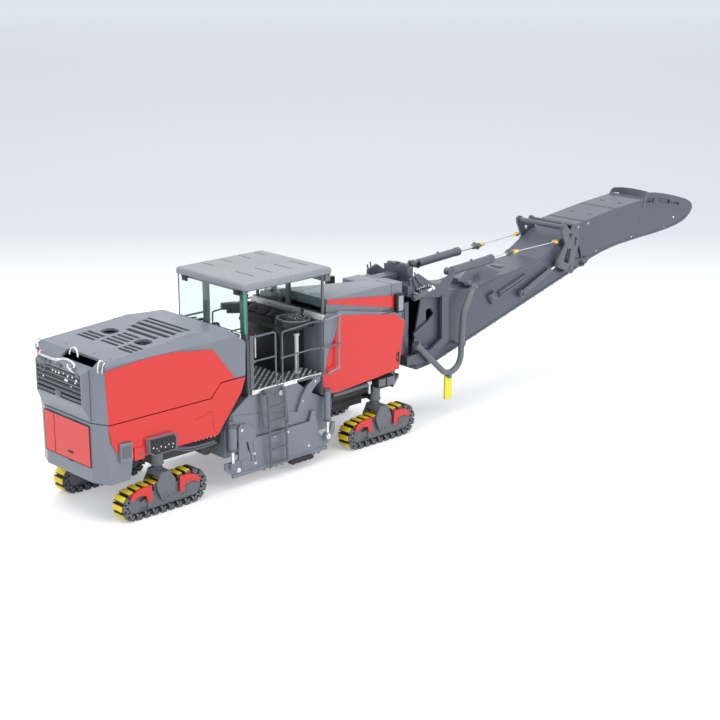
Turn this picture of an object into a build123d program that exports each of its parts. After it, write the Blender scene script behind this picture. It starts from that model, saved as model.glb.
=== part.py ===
from build123d import *
import math
import os

os.makedirs("parts", exist_ok=True)

# Lengths in millimetres. Places are given as x forward from the rear panel, y to the left and z up
# from the ground. The origin of the model lies on the ground below the middle of its length.

# ---- Driving dimensions --------------------------------------------------------------------------

tail_reach = 3.2  # the grille stands out behind the rear panel by this much
tip_x = 417.5
mid_x = (tip_x - tail_reach) / 2

core_half = 24.4  # half width of the grey bodywork
panel = 0.6  # thickness of the red cover panels
gap = 0.3  # clearance between pieces that lie side by side
play = 0.1  # running clearance of a pin or column in its bore

# Rear bodywork and engine hood
rear_half = 16.6  # half width of the flat rear face
corner_x = 3.4  # where the slanted rear corners meet the sides
tub_floor_z = 27.0
tub_foot_z = 18.2
split_z = 43.8  # joint line between lower body and hood
tub_wall = 2.2
hood_wall = 1.1
hood_front_x = 74.9
hinge_x = 76.0
hinge_z = 66.0
hinge_r = 0.9

# Track units
unit_x = {"rear": 29.3, "front": 155.5}
track_y = 21.8
shoe_half = 3.7
chain_half = 2.9
idler_dx = 15.4
idler_r = 6.4
sprocket_dx = 14.4
sprocket_r = 7.6
lug = 1.0  # height of a shoe's grouser above the chain
shoe_t = 1.2
arc_sink = 0.25  # flat shoes on the bends lie this much deeper, so that no corner stands out
shoe_count = 25
shoe_long = 1.5  # half length of a shoe plate
column_y = 20.2
column_r = 1.7
sleeve_wall = 0.8
yoke_plate = 0.8
yoke_head_z = 18.2
pivot_z = 7.6

# Milling drum and its housing
drum_x = 95.0
drum_z = 12.6
drum_r = 7.2
tooth_reach = 2.6
housing_rear_x = 63.0
housing_front_x = 124.0
housing_half = 23.2
housing_wall = 1.4
drum_half = housing_half - housing_wall - 1.4
side_plate_y = housing_half + 0.6
side_plate_t = 1.0

# Operator's platform
deck_z = 42.0
deck_t = 1.6
deck_front_x = 119.0
deck_half = 24.6
wall_t = 1.5
rail_r = 0.45
bar_r = 0.38
rail_z = 66.5
roof_z = 89.4
roof_rear_x = 75.0
roof_front_x = 125.6
roof_half = 24.6
roof_t = 2.6
glass_t = 0.6

# Front box above the primary conveyor
box_rear_x = 119.0
box_front_x = 171.0

# Slewing discharge conveyor
slew_x = 184.0
slew_bar = 174.0
lift_x = 196.0
lift_z = 32.0
fold_x = 316.4
fold_z = 58.8
wall_half = 12.0
wall = 1.0
base_eye_x = 214.7
base_eye_z = 70.5
lift_eye_y = 11.5
clevis_x = 259.2
cable_end_x = 296.8
cable_end_z = 74.1
fold_base_x = 267.0
fold_base_z = 50.8
fold_eye_x = 295.2
fold_eye_z = 61.8
fold_cylinder_y = 13.8
pivot_r = 2.0  # round tongue of the main section about the fold hinge


def side_at(y):
    """Upright plane along the machine; an extrusion goes towards the right-hand side."""
    return Plane(origin=(-mid_x, y, 0), x_dir=(1, 0, 0), z_dir=(0, -1, 0))


def deck_at(z):
    """Level plane; an extrusion goes up."""
    return Plane(origin=(-mid_x, 0, z), x_dir=(1, 0, 0), z_dir=(0, 0, 1))


def face_at(x):
    """Upright plane across the machine; sketch x is y, and an extrusion goes forward."""
    return Plane(origin=(x - mid_x, 0, 0), x_dir=(0, 1, 0), z_dir=(1, 0, 0))


def spot(x, y, z):
    """Point of the machine in the model's own frame."""
    return Vector(x - mid_x, y, z)


def plate(points, y, thickness, mode=Mode.ADD):
    """Flat plate with an x, z outline, from y towards the right by its thickness."""
    with BuildSketch(side_at(y)) as outline:
        Polygon(*points, align=None)
    extrude(outline.sketch, amount=thickness, mode=mode)


def block(x, y, z, mode=Mode.ADD):
    """Box given by its (low, high) pairs along x, y and z."""
    with BuildSketch(deck_at(z[0])) as foot:
        with Locations(((x[0] + x[1]) / 2, (y[0] + y[1]) / 2)):
            Rectangle(x[1] - x[0], y[1] - y[0])
    extrude(foot.sketch, amount=z[1] - z[0], mode=mode)


def rod(start, end, radius, mode=Mode.ADD):
    """Round bar from one point to another."""
    run = end - start
    with BuildSketch(Plane(origin=start, z_dir=run)) as section:
        Circle(radius)
    extrude(section.sketch, amount=run.length, mode=mode)


def cross_rod(x, z, y, radius, mode=Mode.ADD):
    """Round bar along y, between the (low, high) pair y."""
    rod(spot(x, y[0], z), spot(x, y[1], z), radius, mode)


def bent_tube(points, bend, radius):
    """Round tube along corner points, with rounded bends."""
    with BuildLine() as path:
        FilletPolyline(*points, radius=bend)
    with BuildSketch(Plane(origin=path.line @ 0, z_dir=path.line % 0)) as section:
        Circle(radius)
    sweep(section.sketch, path=path.line)


def finish(part, name):
    part.label = name
    export_step(part, "parts/" + name + ".step")


# ---- Lower rear body -----------------------------------------------------------------------------

tub_outline = [
    (0, tub_foot_z), (13.0, tub_foot_z), (14.6, tub_floor_z), (58.4, tub_floor_z), (71.6, 43.2),
    (74.2, split_z + 5.6), (60.8, split_z + 5.6), (55.4, split_z - 0.2), (0, split_z - 0.2),
]


# Box with the unit's controls above each rear column
side_box_outline = [(20.8, 28.2), (20.8, 34.3), (34.2, 34.1), (35.6, 32.4), (35.2, 26.8), (23.4, 26.6)]


def rear_plan(z, height, inset):
    """Plan of the rear bodywork, with its two slanted corners."""
    with BuildSketch(deck_at(z)) as plan:
        Polygon(
            (0, -rear_half), (corner_x, -core_half), (hood_front_x, -core_half),
            (hood_front_x, core_half), (corner_x, core_half), (0, rear_half), align=None,
        )
        if inset:
            offset(amount=-inset, kind=Kind.INTERSECTION)
    extrude(plan.sketch, amount=height, mode=Mode.INTERSECT)


with BuildPart() as lower_body:
    plate(tub_outline, core_half, 2 * core_half)
    rear_plan(tub_foot_z, split_z, 0)
    block((corner_x + 1.0, hood_front_x - 5), (tub_wall - core_half, core_half - tub_wall),
          (tub_floor_z + tub_wall, split_z + 10), mode=Mode.SUBTRACT)
    for side in (-1, 1):
        rod(spot(unit_x["rear"], side * column_y, tub_foot_z),
            spot(unit_x["rear"], side * column_y, split_z),
            column_r + play + sleeve_wall + gap, mode=Mode.SUBTRACT)
    plate(side_box_outline, -core_half + 0.2, 2.4)
    plate([(7.8, 27.0), (7.8, 35.2), (13.6, 34.8), (13.6, 26.8)], -core_half + 0.2, 1.7)
    plate(side_box_outline, core_half + 2.2, 2.4)
    plate([(7.8, 27.0), (7.8, 35.2), (13.6, 34.8), (13.6, 26.8)], core_half + 1.5, 1.7)
finish(lower_body.part, "lower_body")

lower_panel_outline = [
    (corner_x, split_z - 0.2), (4.3, 36.0), (6.9, 31.6), (14.4, tub_floor_z), (58.4, tub_floor_z),
    (71.6, 43.2), (74.0, split_z + 5.6), (60.8, split_z + 5.6), (55.4, split_z - 0.2),
]

with BuildPart() as body_panels:
    plate(lower_panel_outline, -core_half, panel)
    plate(side_box_outline, -core_half + 1, panel + 2, mode=Mode.SUBTRACT)
    block((7.7, 13.7), (-core_half - 1, -core_half + 1), (20.0, 35.3), mode=Mode.SUBTRACT)
    plate([(14.8, 26.3), (14.8, 31.8), (20.4, 31.2), (19.6, 26.2)], -core_half - panel, 0.5)
    mirror(about=Plane.XZ)
    block((-panel, 0), (0.2 - rear_half, rear_half - 0.2), (24.8, 42.1))
finish(body_panels.part, "body_panels")

with BuildPart() as engine_block:
    block((13.5, 52.5), (-13.0, 13.0), (tub_floor_z + tub_wall, 54.0))
    block((19.0, 50.0), (-9.0, 9.0), (54.0, 61.0))
finish(engine_block.part, "engine_block")

# ---- Engine hood ---------------------------------------------------------------------------------

hood_outline = [
    (0, split_z + 0.2), (55.2, split_z + 0.2), (60.6, split_z + 6.0), (74.4, split_z + 6.0),
    (hood_front_x, 64.6), (66.7, 71.5), (46.6, 73.0), (4.5, 69.7), (0, 66.2),
]


def hood_form(inset):
    """Outer form of the hood, or its inside when given a wall as inset."""
    with BuildPart() as form:
        with BuildSketch(side_at(core_half)) as outline:
            Polygon(*hood_outline, align=None)
            if inset:
                offset(amount=-inset, kind=Kind.INTERSECTION)
        extrude(outline.sketch, amount=2 * core_half)
        rear_plan(split_z - 1, 40, inset)
        with BuildSketch(face_at(0)) as section:
            Polygon(
                (-core_half, split_z), (core_half, split_z), (core_half, 68.2), (22.0, 72.4),
                (22.0, 75.0), (-22.0, 75.0), (-22.0, 72.4), (-core_half, 68.2), align=None,
            )
            if inset:
                offset(amount=-inset, kind=Kind.INTERSECTION)
        extrude(section.sketch, amount=hood_front_x, mode=Mode.INTERSECT)
    return form.part


# Cooling slots in the top: x of the middle, then y from and to
hood_slots = [
    (50.9, -16.8, 12.4), (47.0, -17.2, 10.2), (43.1, -17.8, 9.2), (39.2, -18.2, 8.0), (35.2, -15.6, 5.4),
    (31.0, -9.0, 2.4), (28.2, -9.0, 2.6), (25.4, -9.6, 2.6), (22.6, -9.9, 2.4), (19.8, -9.9, 2.0),
    (18.2, 4.4, 17.0), (20.7, 4.6, 17.0), (23.2, 4.8, 17.0),
    (18.2, -22.0, -12.4), (20.7, -22.0, -12.4), (23.2, -22.0, -12.4),
]
slot_width = {"wide": 2.3, "narrow": 1.6}
exhaust_x = 28.9
exhaust_y = (-14.6, 9.0)
fascia_half = 16.6
fascia_z = (51.2, 64.8)
fascia_rim = 0.6

with BuildPart() as hood:
    add(hood_form(0))
    with BuildSketch(face_at(-tail_reach)) as fascia_rear:
        with Locations((0, sum(fascia_z) / 2)):
            Rectangle(2 * fascia_half, fascia_z[1] - fascia_z[0])
    with BuildSketch(face_at(0)) as fascia_root:
        with Locations((0, (split_z + 0.2 + 66.2) / 2)):
            Rectangle(2 * rear_half + 1.6, 66.0 - split_z)
    loft([fascia_rear.sketch, fascia_root.sketch])
    add(hood_form(hood_wall), mode=Mode.SUBTRACT)
    block((corner_x + hood_wall, hood_front_x - hood_wall), (hood_wall - core_half, core_half - hood_wall),
          (split_z - 1, split_z + 1.4), mode=Mode.SUBTRACT)
    block((50.0, hood_front_x - hood_wall), (hood_wall - core_half, core_half - hood_wall),
          (split_z - 1, split_z + 7.2), mode=Mode.SUBTRACT)
    block((-tail_reach - 1, -tail_reach + 1.8), (fascia_rim - fascia_half, fascia_half - fascia_rim),
          (fascia_z[0] + fascia_rim, fascia_z[1] - fascia_rim), mode=Mode.SUBTRACT)
    for x, y_low, y_high in hood_slots:
        half = slot_width["wide" if x > 33.0 else "narrow"] / 2
        block((x - half, x + half), (y_low, y_high), (68.0, 76.0), mode=Mode.SUBTRACT)
    with BuildSketch(deck_at(66.0)) as exhausts:
        for y in exhaust_y:
            with Locations((exhaust_x, y)):
                Polygon((-3.2, -2.2), (-1.8, -4.0), (1.8, -4.0), (3.2, -2.2), (3.2, 2.2), (1.8, 4.0),
                        (-1.8, 4.0), (-3.2, 2.2), align=None)
    extrude(exhausts.sketch, amount=10.0, mode=Mode.SUBTRACT)
    block((1.3, 5.3), (-18.4, 4.2), (65.6, 75.0), mode=Mode.SUBTRACT)
    for side in (-1, 1):
        y_low = side * 16.0 - 2.0
        block((hood_front_x - 2.0, hinge_x), (y_low, y_low + 4.0),
              (hinge_z - hinge_r, hinge_z + hinge_r))
        cross_rod(hinge_x, hinge_z, (y_low, y_low + 4.0), hinge_r)
    cross_rod(hinge_x, hinge_z, (-18.5, 18.5), 0.3, mode=Mode.SUBTRACT)
finish(hood.part, "hood")

hood_panel_outline = [
    (corner_x, split_z + 0.3), (55.1, split_z + 0.3), (60.5, split_z + 6.0), (68.4, split_z + 6.4),
    (56.9, 64.8), (38.2, 67.6), (25.6, 68.0), (corner_x - 0.4, 66.4),
]

with BuildPart() as hood_panels:
    plate(hood_panel_outline, -core_half, panel)
    mirror(about=Plane.XZ)
finish(hood_panels.part, "hood_panels")

slat_count = 6
slat_inset = fascia_rim + play

with BuildPart() as rear_grille:
    block((-tail_reach + 0.9, -tail_reach + 1.8), (slat_inset - fascia_half, fascia_half - slat_inset),
          (fascia_z[0] + slat_inset, fascia_z[1] - slat_inset))
    slat_step = (fascia_z[1] - fascia_z[0] - 2 * slat_inset) / slat_count
    for row in range(slat_count):
        slat_z = fascia_z[0] + slat_inset + slat_step * (row + 0.5)
        block((-tail_reach, -tail_reach + 0.9), (slat_inset - fascia_half, fascia_half - slat_inset),
              (slat_z - 0.45, slat_z + 0.45))
finish(rear_grille.part, "rear_grille")

# ---- Main frame ----------------------------------------------------------------------------------

sleeve_r = column_r + play + sleeve_wall
beam_half = 3.0
tank_z = 20.8  # lowest level of the rails and tanks above the track units

with BuildPart() as main_frame:
    for side in (-1, 1):
        block((14.8, housing_rear_x), (side * 8.0 - 1.6, side * 8.0 + 1.6), (19.6, tub_floor_z))
        block((31.0, 62.4), (side * 18.2 - 2.4, side * 18.2 + 2.4), (tank_z, tub_floor_z))
        cross_rod(56.0, 20.4, (side * 15.5 - 4.5, side * 15.5 + 4.5), 3.3)
        block((126.0, 150.0), (side * 13.7 - 3.4, side * 13.7 + 3.4), (18.8, 28.6))
        rod(spot(housing_front_x, side * 18.6, 25.2), spot(154.0, side * 18.6, 25.2), 1.5)
        block((153.5, 164.4), (side * 22.1 - 2.7, side * 22.1 + 2.7), (26.8, 31.2))
        block((housing_front_x, slew_bar - 1.0), (side * 12.4 - 1.6, side * 12.4 + 1.6), (21.5, 29.0))
    for name, x in unit_x.items():
        block((x - beam_half, x + beam_half), (-column_y, column_y), (20.6, tub_floor_z))
        for side in (-1, 1):
            top = tub_floor_z + 10.0 if name == "rear" else tub_floor_z + 2.0
            rod(spot(x, side * column_y, 20.6), spot(x, side * column_y, top), sleeve_r)
            rod(spot(x, side * column_y, 20.0), spot(x, side * column_y, top - 1.0),
                column_r + play, mode=Mode.SUBTRACT)
finish(main_frame.part, "main_frame")

# ---- Track units ---------------------------------------------------------------------------------


def loop_outline(x, radii):
    """Belt outline around the idler and the sprocket, with these two radii."""
    r1, r2 = radii
    a = Vector(x - idler_dx, idler_r)
    b = Vector(x + sprocket_dx, sprocket_r)
    with BuildSketch() as ends:
        with Locations((a.X, a.Y)):
            Circle(r1)
        with Locations((b.X, b.Y)):
            Circle(r2)
        make_hull()
    return ends.sketch


def track_unit(unit, side):
    """The fixed shoe loop, the roller frame with its yoke and column, and the red guards."""
    x = unit_x[unit]
    outer = side * (track_y + shoe_half)
    name = unit + ("_right" if side < 0 else "_left")

    a = Vector(x - idler_dx, idler_r)
    b = Vector(x + sprocket_dx, sprocket_r)
    rise = math.degrees(math.asin((sprocket_r - idler_r) / (b - a).length))
    tilt = math.degrees(math.atan2(b.Y - a.Y, b.X - a.X))

    with BuildPart() as loop:
        with BuildSketch(side_at(track_y * side + shoe_half)) as ring:
            top_tilt = tilt + rise
            low_run = b.X - a.X
            arc_low = 0.5 * math.pi
            top_run = math.sqrt((b - a).length ** 2 - (sprocket_r - idler_r) ** 2)
            lengths = [low_run, sprocket_r * (arc_low + math.radians(top_tilt) + 0.5 * math.pi), top_run,
                       idler_r * (math.pi - math.radians(top_tilt))]
            total = sum(lengths)
            step = total / shoe_count
            for index in range(shoe_count):
                s = (index + 0.5) * step
                if s < lengths[0]:
                    place = Vector(a.X + s, shoe_t / 2)
                    turn = 0.0
                elif s < lengths[0] + lengths[1]:
                    turn = math.degrees((s - lengths[0]) / sprocket_r)
                    place = b + Vector(0, -(sprocket_r - arc_sink - shoe_t / 2)).rotate(Axis.Z, turn)
                elif s < lengths[0] + lengths[1] + lengths[2]:
                    turn = 180.0 + top_tilt
                    run = s - lengths[0] - lengths[1]
                    start = b + Vector(0, sprocket_r - shoe_t / 2).rotate(Axis.Z, top_tilt)
                    place = start - Vector(run, 0).rotate(Axis.Z, top_tilt)
                else:
                    turn = 180.0 + top_tilt
                    turn += math.degrees((s - lengths[0] - lengths[1] - lengths[2]) / idler_r)
                    place = a + Vector(0, -(idler_r - arc_sink - shoe_t / 2)).rotate(Axis.Z, turn)
                with Locations(Location((place.X, place.Y, 0), (0, 0, turn))):
                    Polygon((-shoe_long, 0.4 - shoe_t / 2), (0.4 - shoe_long, -shoe_t / 2),
                            (shoe_long - 0.4, -shoe_t / 2), (shoe_long, 0.4 - shoe_t / 2),
                            (shoe_long, shoe_t / 2), (-shoe_long, shoe_t / 2), align=None)
        extrude(ring.sketch, amount=2 * shoe_half)
        with BuildSketch(side_at(track_y * side + chain_half)) as chain:
            add(loop_outline(x, (idler_r - lug, sprocket_r - lug)))
            add(loop_outline(x, (idler_r - 2.2, sprocket_r - 2.2)), mode=Mode.SUBTRACT)
        extrude(chain.sketch, amount=2 * chain_half)
    finish(loop.part, "crawler_" + name)

    # The roller frame fills the loop; its column turns in the main frame's sleeve.
    with BuildPart() as frame:
        with BuildSketch(side_at(track_y * side + 2.0)) as core:
            add(loop_outline(x, (idler_r - 2.5, sprocket_r - 2.5)))
        extrude(core.sketch, amount=4.0)
        cheek_y = track_y * side + shoe_half - 0.5
        plate([(x - 8.5, 3.6), (x - 8.5, 10.2), (x - 6.6, 10.9), (x + 12.0, 12.3)]
              + [(x + sprocket_dx + 4.4 * math.cos(math.radians(a)), sprocket_r + 4.4 * math.sin(math.radians(a)))
                 for a in range(70, -80, -20)] + [(x + 12.6, 3.8)],
              cheek_y, 2 * shoe_half - 1.0)
        cross_rod(x - idler_dx, idler_r, (cheek_y - 2 * shoe_half + 1.0, cheek_y), 2.9)
        plate([(x - 13.0, 5.6), (x - 13.0, 7.2), (x - 8.4, 8.8), (x - 8.4, 4.4)], track_y * side + 3.0, 6.0)
        head = [(x - 2.3, yoke_head_z), (x + 2.3, yoke_head_z), (x + 3.2, 15.9 + gap),
                (x + 4.8, 13.6), (x + 4.6, 11.4), (x + 2.4, 6.4), (x, 5.3), (x - 2.4, 6.4),
                (x - 4.6, 11.4), (x - 4.8, 13.6), (x - 3.2, 15.9 + gap)]
        for cheek in (-1, 1):
            y_out = side * track_y + cheek * (shoe_half + gap + yoke_plate / 2) + yoke_plate / 2
            plate(head, y_out, yoke_plate)
        plate([(x - 2.3, yoke_head_z), (x + 2.3, yoke_head_z), (x + 3.2, 15.9 + gap),
               (x - 3.2, 15.9 + gap)],
              side * track_y + shoe_half + gap + yoke_plate, 2 * (shoe_half + gap + yoke_plate))
        reach = shoe_half + gap + yoke_plate
        cross_rod(x, pivot_z, (side * track_y - reach, side * track_y + reach), 1.2)
        rod(spot(x, side * column_y, yoke_head_z - 1.0),
            spot(x, side * column_y, tub_floor_z + (8.0 if unit == "rear" else 0.5)), column_r)
    finish(frame.part, "track_frame_" + name)

    guard_shape = [(18.0, 10.2), (16.6, 12.4), (13.5, 13.8), (7.2, 14.2), (7.0, 7.2), (9.4, 7.2),
                   (9.8, 10.0), (13.0, 10.8), (17.4, 9.4)]
    with BuildPart() as guards:
        for end in (-1, 1):
            points = [(x + end * dx, z) for dx, z in guard_shape]
            y_out = outer + (0 if side < 0 else 0.8)
            plate(points, y_out, 0.8)
            middle = x + end * 8.2
            y_in = sorted((outer, side * (track_y + shoe_half - 0.5)))
            block((middle - 0.8, middle + 0.8), tuple(y_in), (7.6, 8.8))
    finish(guards.part, "guards_" + name)


for unit in unit_x:
    for side in (-1, 1):
        track_unit(unit, side)

# ---- Milling drum --------------------------------------------------------------------------------

tooth_rows = 11
teeth_per_row = 6

with BuildPart() as milling_drum:
    cross_rod(drum_x, drum_z, (-drum_half, drum_half), drum_r)
    cross_rod(drum_x, drum_z, (-housing_half, housing_half), 2.0)
    for row in range(tooth_rows):
        y = -drum_half + 1.4 + row * (2 * drum_half - 2.8) / (tooth_rows - 1)
        lead = abs(row - (tooth_rows - 1) / 2) * 17.0
        for index in range(teeth_per_row):
            angle = math.radians(lead + index * 360 / teeth_per_row)
            root = spot(drum_x + (drum_r - 0.4) * math.cos(angle), y,
                        drum_z + (drum_r - 0.4) * math.sin(angle))
            tip_reach = drum_r + tooth_reach
            tip = spot(drum_x + tip_reach * math.cos(angle + 0.12), y,
                       drum_z + tip_reach * math.sin(angle + 0.12))
            with BuildSketch(Plane(origin=root, z_dir=tip - root)) as socket:
                RegularPolygon(0.8, 4)
            extrude(socket.sketch, amount=(tip - root).length, taper=9)
finish(milling_drum.part, "milling_drum")

# ---- Drum housing with the movable side plates ---------------------------------------------------

housing_outline = [
    (housing_rear_x, 14.5), (housing_rear_x, 27.0), (67.0, 33.5), (78.0, deck_z - deck_t),
    (104.0, deck_z - deck_t), (112.0, 34.0), (118.4, 30.6), (housing_front_x, 28.0),
    (housing_front_x, 14.5),
]

with BuildPart() as drum_housing:
    plate(housing_outline, housing_half, 2 * housing_half)
    plate([(housing_rear_x + housing_wall, 10.0), (housing_rear_x + housing_wall, 22.0),
           (76.0, 27.0), (114.0, 27.0), (housing_front_x - housing_wall, 22.0),
           (housing_front_x - housing_wall, 10.0)],
          housing_half - housing_wall, 2 * (housing_half - housing_wall), mode=Mode.SUBTRACT)
    for side in (-1, 1):
        y_out = side * (housing_half - housing_wall / 2) + housing_wall / 2
        plate([(87.0, 20.0), (103.0, 20.0), (98.5, 9.6), (91.5, 9.6)], y_out, housing_wall)
        plate([(67.4, 21.0), (67.4, 33.0), (103.0, 26.8), (108.4, 21.0)],
              side * (housing_half + 0.2) + 0.2, 0.4)
        plate([(113.6, 40.2), (109.6, 37.6), (106.0, 32.8), (103.4, 26.6), (107.2, 26.6), (109.8, 31.0),
               (113.2, 35.4), (117.6, 38.6), (117.6, 40.2)], side * (housing_half + 0.7) + 0.7, 1.4)
    cross_rod(drum_x, drum_z, (-housing_half, housing_half), 2.0 + play, mode=Mode.SUBTRACT)
finish(drum_housing.part, "drum_housing")

side_plate_outline = [
    (62.0, 12.4), (62.0, 9.4), (66.0, 5.9), (120.0, 6.6), (125.6, 12.0), (126.2, 17.0),
    (124.4, 17.4), (121.8, 10.4), (118.6, 11.0), (116.2, 14.2), (113.8, 25.2), (112.0, 25.2),
    (110.6, 20.6), (79.4, 20.6), (78.8, 23.6), (77.0, 26.2), (74.0, 28.0), (70.8, 28.4), (69.6, 27.0),
    (69.6, 12.4),
]
cylinder_eye = (119.8, 12.0)
cylinder_y = side_plate_y + 2.8
post_cylinder_x = 65.6
post_cylinder_y = side_plate_y + 1.6

# The cylinders' barrels hang on the housing; the rods belong to the plates.
with BuildPart() as plate_cylinders:
    rod(spot(post_cylinder_x, -post_cylinder_y, 18.0), spot(post_cylinder_x, -post_cylinder_y, 29.6), 1.9)
    rod(spot(cylinder_eye[0], -cylinder_y, 19.4), spot(cylinder_eye[0], -cylinder_y, 34.4), 1.4)
    block((post_cylinder_x - 1.4, post_cylinder_x + 1.4), (-post_cylinder_y, -housing_half), (28.6, 31.0))
    block((cylinder_eye[0] - 1.3, cylinder_eye[0] + 1.3), (-cylinder_y, -housing_half), (28.2, 30.4))
    rod(spot(post_cylinder_x, -post_cylinder_y, 15.0), spot(post_cylinder_x, -post_cylinder_y, 28.0),
        0.8 + play, mode=Mode.SUBTRACT)
    rod(spot(cylinder_eye[0], -cylinder_y, 17.0), spot(cylinder_eye[0], -cylinder_y, 33.0),
        0.7 + play, mode=Mode.SUBTRACT)
    mirror(about=Plane.XZ)
finish(plate_cylinders.part, "plate_cylinders")

for side, name in ((-1, "right"), (1, "left")):
    with BuildPart() as side_plate:
        y_out = side * side_plate_y + (0 if side < 0 else side_plate_t)
        plate(side_plate_outline, y_out, side_plate_t)
        y_face = side * (side_plate_y + side_plate_t)
        block((post_cylinder_x - 1.5, post_cylinder_x + 1.5),
              tuple(sorted((y_face, side * (post_cylinder_y + 0.8)))), (9.6, 12.2))
        rod(spot(post_cylinder_x, side * post_cylinder_y, 11.0),
            spot(post_cylinder_x, side * post_cylinder_y, 22.6), 0.8)
        cross_rod(cylinder_eye[0], cylinder_eye[1],
                  tuple(sorted((y_face, side * (cylinder_y + 0.8)))), 1.7)
        rod(spot(cylinder_eye[0], side * cylinder_y, cylinder_eye[1]),
            spot(cylinder_eye[0], side * cylinder_y, 26.0), 0.7)
        plate([(73.8, 19.8), (74.8, 19.8), (77.0, 10.6), (75.8, 10.6)], y_out + 1, 3, mode=Mode.SUBTRACT)
        block((66.0, 121.0), tuple(sorted((side * side_plate_y, side * (side_plate_y + 1.3)))),
              (5.0, 6.7))
        block((99.0, 111.0), tuple(sorted((side * side_plate_y, side * (side_plate_y + 2.2)))),
              (3.4, 5.1))
    finish(side_plate.part, "side_plate_" + name)

# ---- Operator's platform -------------------------------------------------------------------------

with BuildPart() as platform:
    block((hood_front_x + gap * 2, deck_front_x - gap), (-deck_half, deck_half), (deck_z - deck_t, deck_z))
    block((hood_front_x + gap * 2, hood_front_x + gap * 2 + wall_t), (-core_half, core_half),
          (deck_z, hinge_z - hinge_r - gap))
    for side in (-1, 1):
        y_low = side * 11.5 - 2.0
        cross_rod(hinge_x, hinge_z, (y_low, y_low + 4.0), hinge_r)
        block((hinge_x - hinge_r + 0.4, hinge_x + hinge_r - 0.2), (y_low, y_low + 4.0),
              (hinge_z - 2.0, hinge_z))
    cross_rod(hinge_x, hinge_z, (-18.4, 18.4), 0.3 - play / 2)
finish(platform.part, "platform")

pod_outline = [(-8.8, 0), (-8.0, 2.6), (-5.0, 4.4), (0, 5.0), (5.4, 4.6), (8.6, 2.6), (9.4, 0),
               (8.6, -2.6), (5.4, -4.6), (0, -5.0), (-5.0, -4.4), (-8.0, -2.6)]
pod_y = 18.6

with BuildPart() as console:
    plate([(104.4, deck_z), (104.4, 59.0), (101.0, 63.0), (102.4, 66.0), (109.0, 69.6), (118.6, 69.0),
           (118.6, deck_z)], 12.4, 24.8)
    block((115.6, 118.6), (-20.0, 20.0), (66.6, 69.4))
    fillet(console.edges().filter_by(Axis.Y).group_by(Axis.Z)[-1], radius=0.6)
finish(console.part, "console")

# A control pod on a pillar stands at either side of the platform.
with BuildPart() as pods:
    for side in (-1, 1):
        tilt = Plane(origin=spot(106.0, side * pod_y, 65.6), x_dir=(1, 0, -0.12), z_dir=(0.12, side * 0.16, 1))
        with BuildSketch(tilt) as rim:
            Polygon(*pod_outline, align=None)
        extrude(rim.sketch, amount=2.6)
        with BuildSketch(tilt) as base:
            Polygon(*[(0.66 * px, 0.66 * py) for px, py in pod_outline], align=None)
        extrude(base.sketch, amount=-1.8)
        rod(spot(109.6, side * (pod_y - 1.0), deck_z), spot(109.6, side * (pod_y - 1.0), 65.0), 0.8)
finish(pods.part, "pods")

with BuildPart() as seat:
    block((81.6, 90.4), (13.2, 21.2), (50.0, 52.0))
    block((85.0, 87.4), (16.0, 18.4), (deck_z, 50.2))
    block((79.6, 81.8), (13.2, 21.2), (50.6, 61.6))
    fillet(seat.edges().filter_by(Axis.Y).group_by(Axis.Z)[-1], radius=0.7)
finish(seat.part, "seat")

rail_y = deck_half - rail_r
loop_y = core_half + 2.4
post_t = 1.0  # the curved front post stands out from the box by this much

with BuildPart() as railings:
    block((77.2, 79.0), (-rail_y - 0.5, -rail_y + 0.5), (deck_z, rail_z))
    bent_tube([spot(78.8, -rail_y, rail_z - 0.6), spot(91.8, -rail_y, rail_z - 0.6),
               spot(91.8, -rail_y, deck_z)], 1.5, rail_r)
    rod(spot(78.8, -rail_y, 55.0), spot(91.8, -rail_y, 55.0), bar_r)
    bent_tube([spot(95.6, -rail_y, deck_z), spot(95.6, -rail_y, 65.0), spot(112.6, -rail_y, 66.2),
               spot(117.0, -loop_y, 66.5), spot(127.2, -loop_y, 67.6), spot(126.8, -loop_y, 43.0),
               spot(119.0, -loop_y, 41.4), spot(104.0, -deck_half - bar_r, 41.0)], 0.9, bar_r)
    bent_tube([spot(95.6, -rail_y, 53.4), spot(112.6, -rail_y, 53.9), spot(117.0, -loop_y, 54.0),
               spot(127.0, -loop_y, 54.2)], 0.9, bar_r)
    rod(spot(121.6, -loop_y, 41.7), spot(121.6, -core_half - panel, 41.7), bar_r)
    rod(spot(121.6, -loop_y, 67.0), spot(121.6, -core_half - post_t, 67.0), bar_r)
    rod(spot(104.6, -rail_y, deck_z), spot(104.6, -rail_y, 53.0), bar_r * 0.8)
    mirror(about=Plane.XZ)
finish(railings.part, "railings")

ladder_rungs = 5

with BuildPart() as ladders:
    for x in (84.4, 94.0):
        bent_tube([spot(x, -deck_half - 0.6, deck_z - 0.8), spot(x, -deck_half - 2.6, deck_z - 2.4),
                   spot(x + 1.2, -deck_half - 2.8, 6.2)], 0.8, 0.55)
    for x in (82.6, 96.4):
        rod(spot(x, -deck_half + 0.5, deck_z - deck_t), spot(x + 0.4, -deck_half - 1.2, 24.0), 0.5)
        rod(spot(x + 0.4, -deck_half - 1.2, 24.4), spot(x + (2.2 if x < 90 else -1.2), -deck_half - 2.7, 24.4), 0.4)
    block((83.6, 95.0), (-deck_half - 1.0, -deck_half), (deck_z - 3.0, deck_z - 0.4))
    for rung in range(ladder_rungs):
        z = 7.0 + rung * 6.6
        dx = 1.2 * (1 - rung / ladder_rungs)
        rod(spot(84.4 + dx, -deck_half - 2.75, z), spot(94.0 + dx, -deck_half - 2.75, z), 0.5)
    mirror(about=Plane.XZ)
finish(ladders.part, "ladders")

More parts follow.
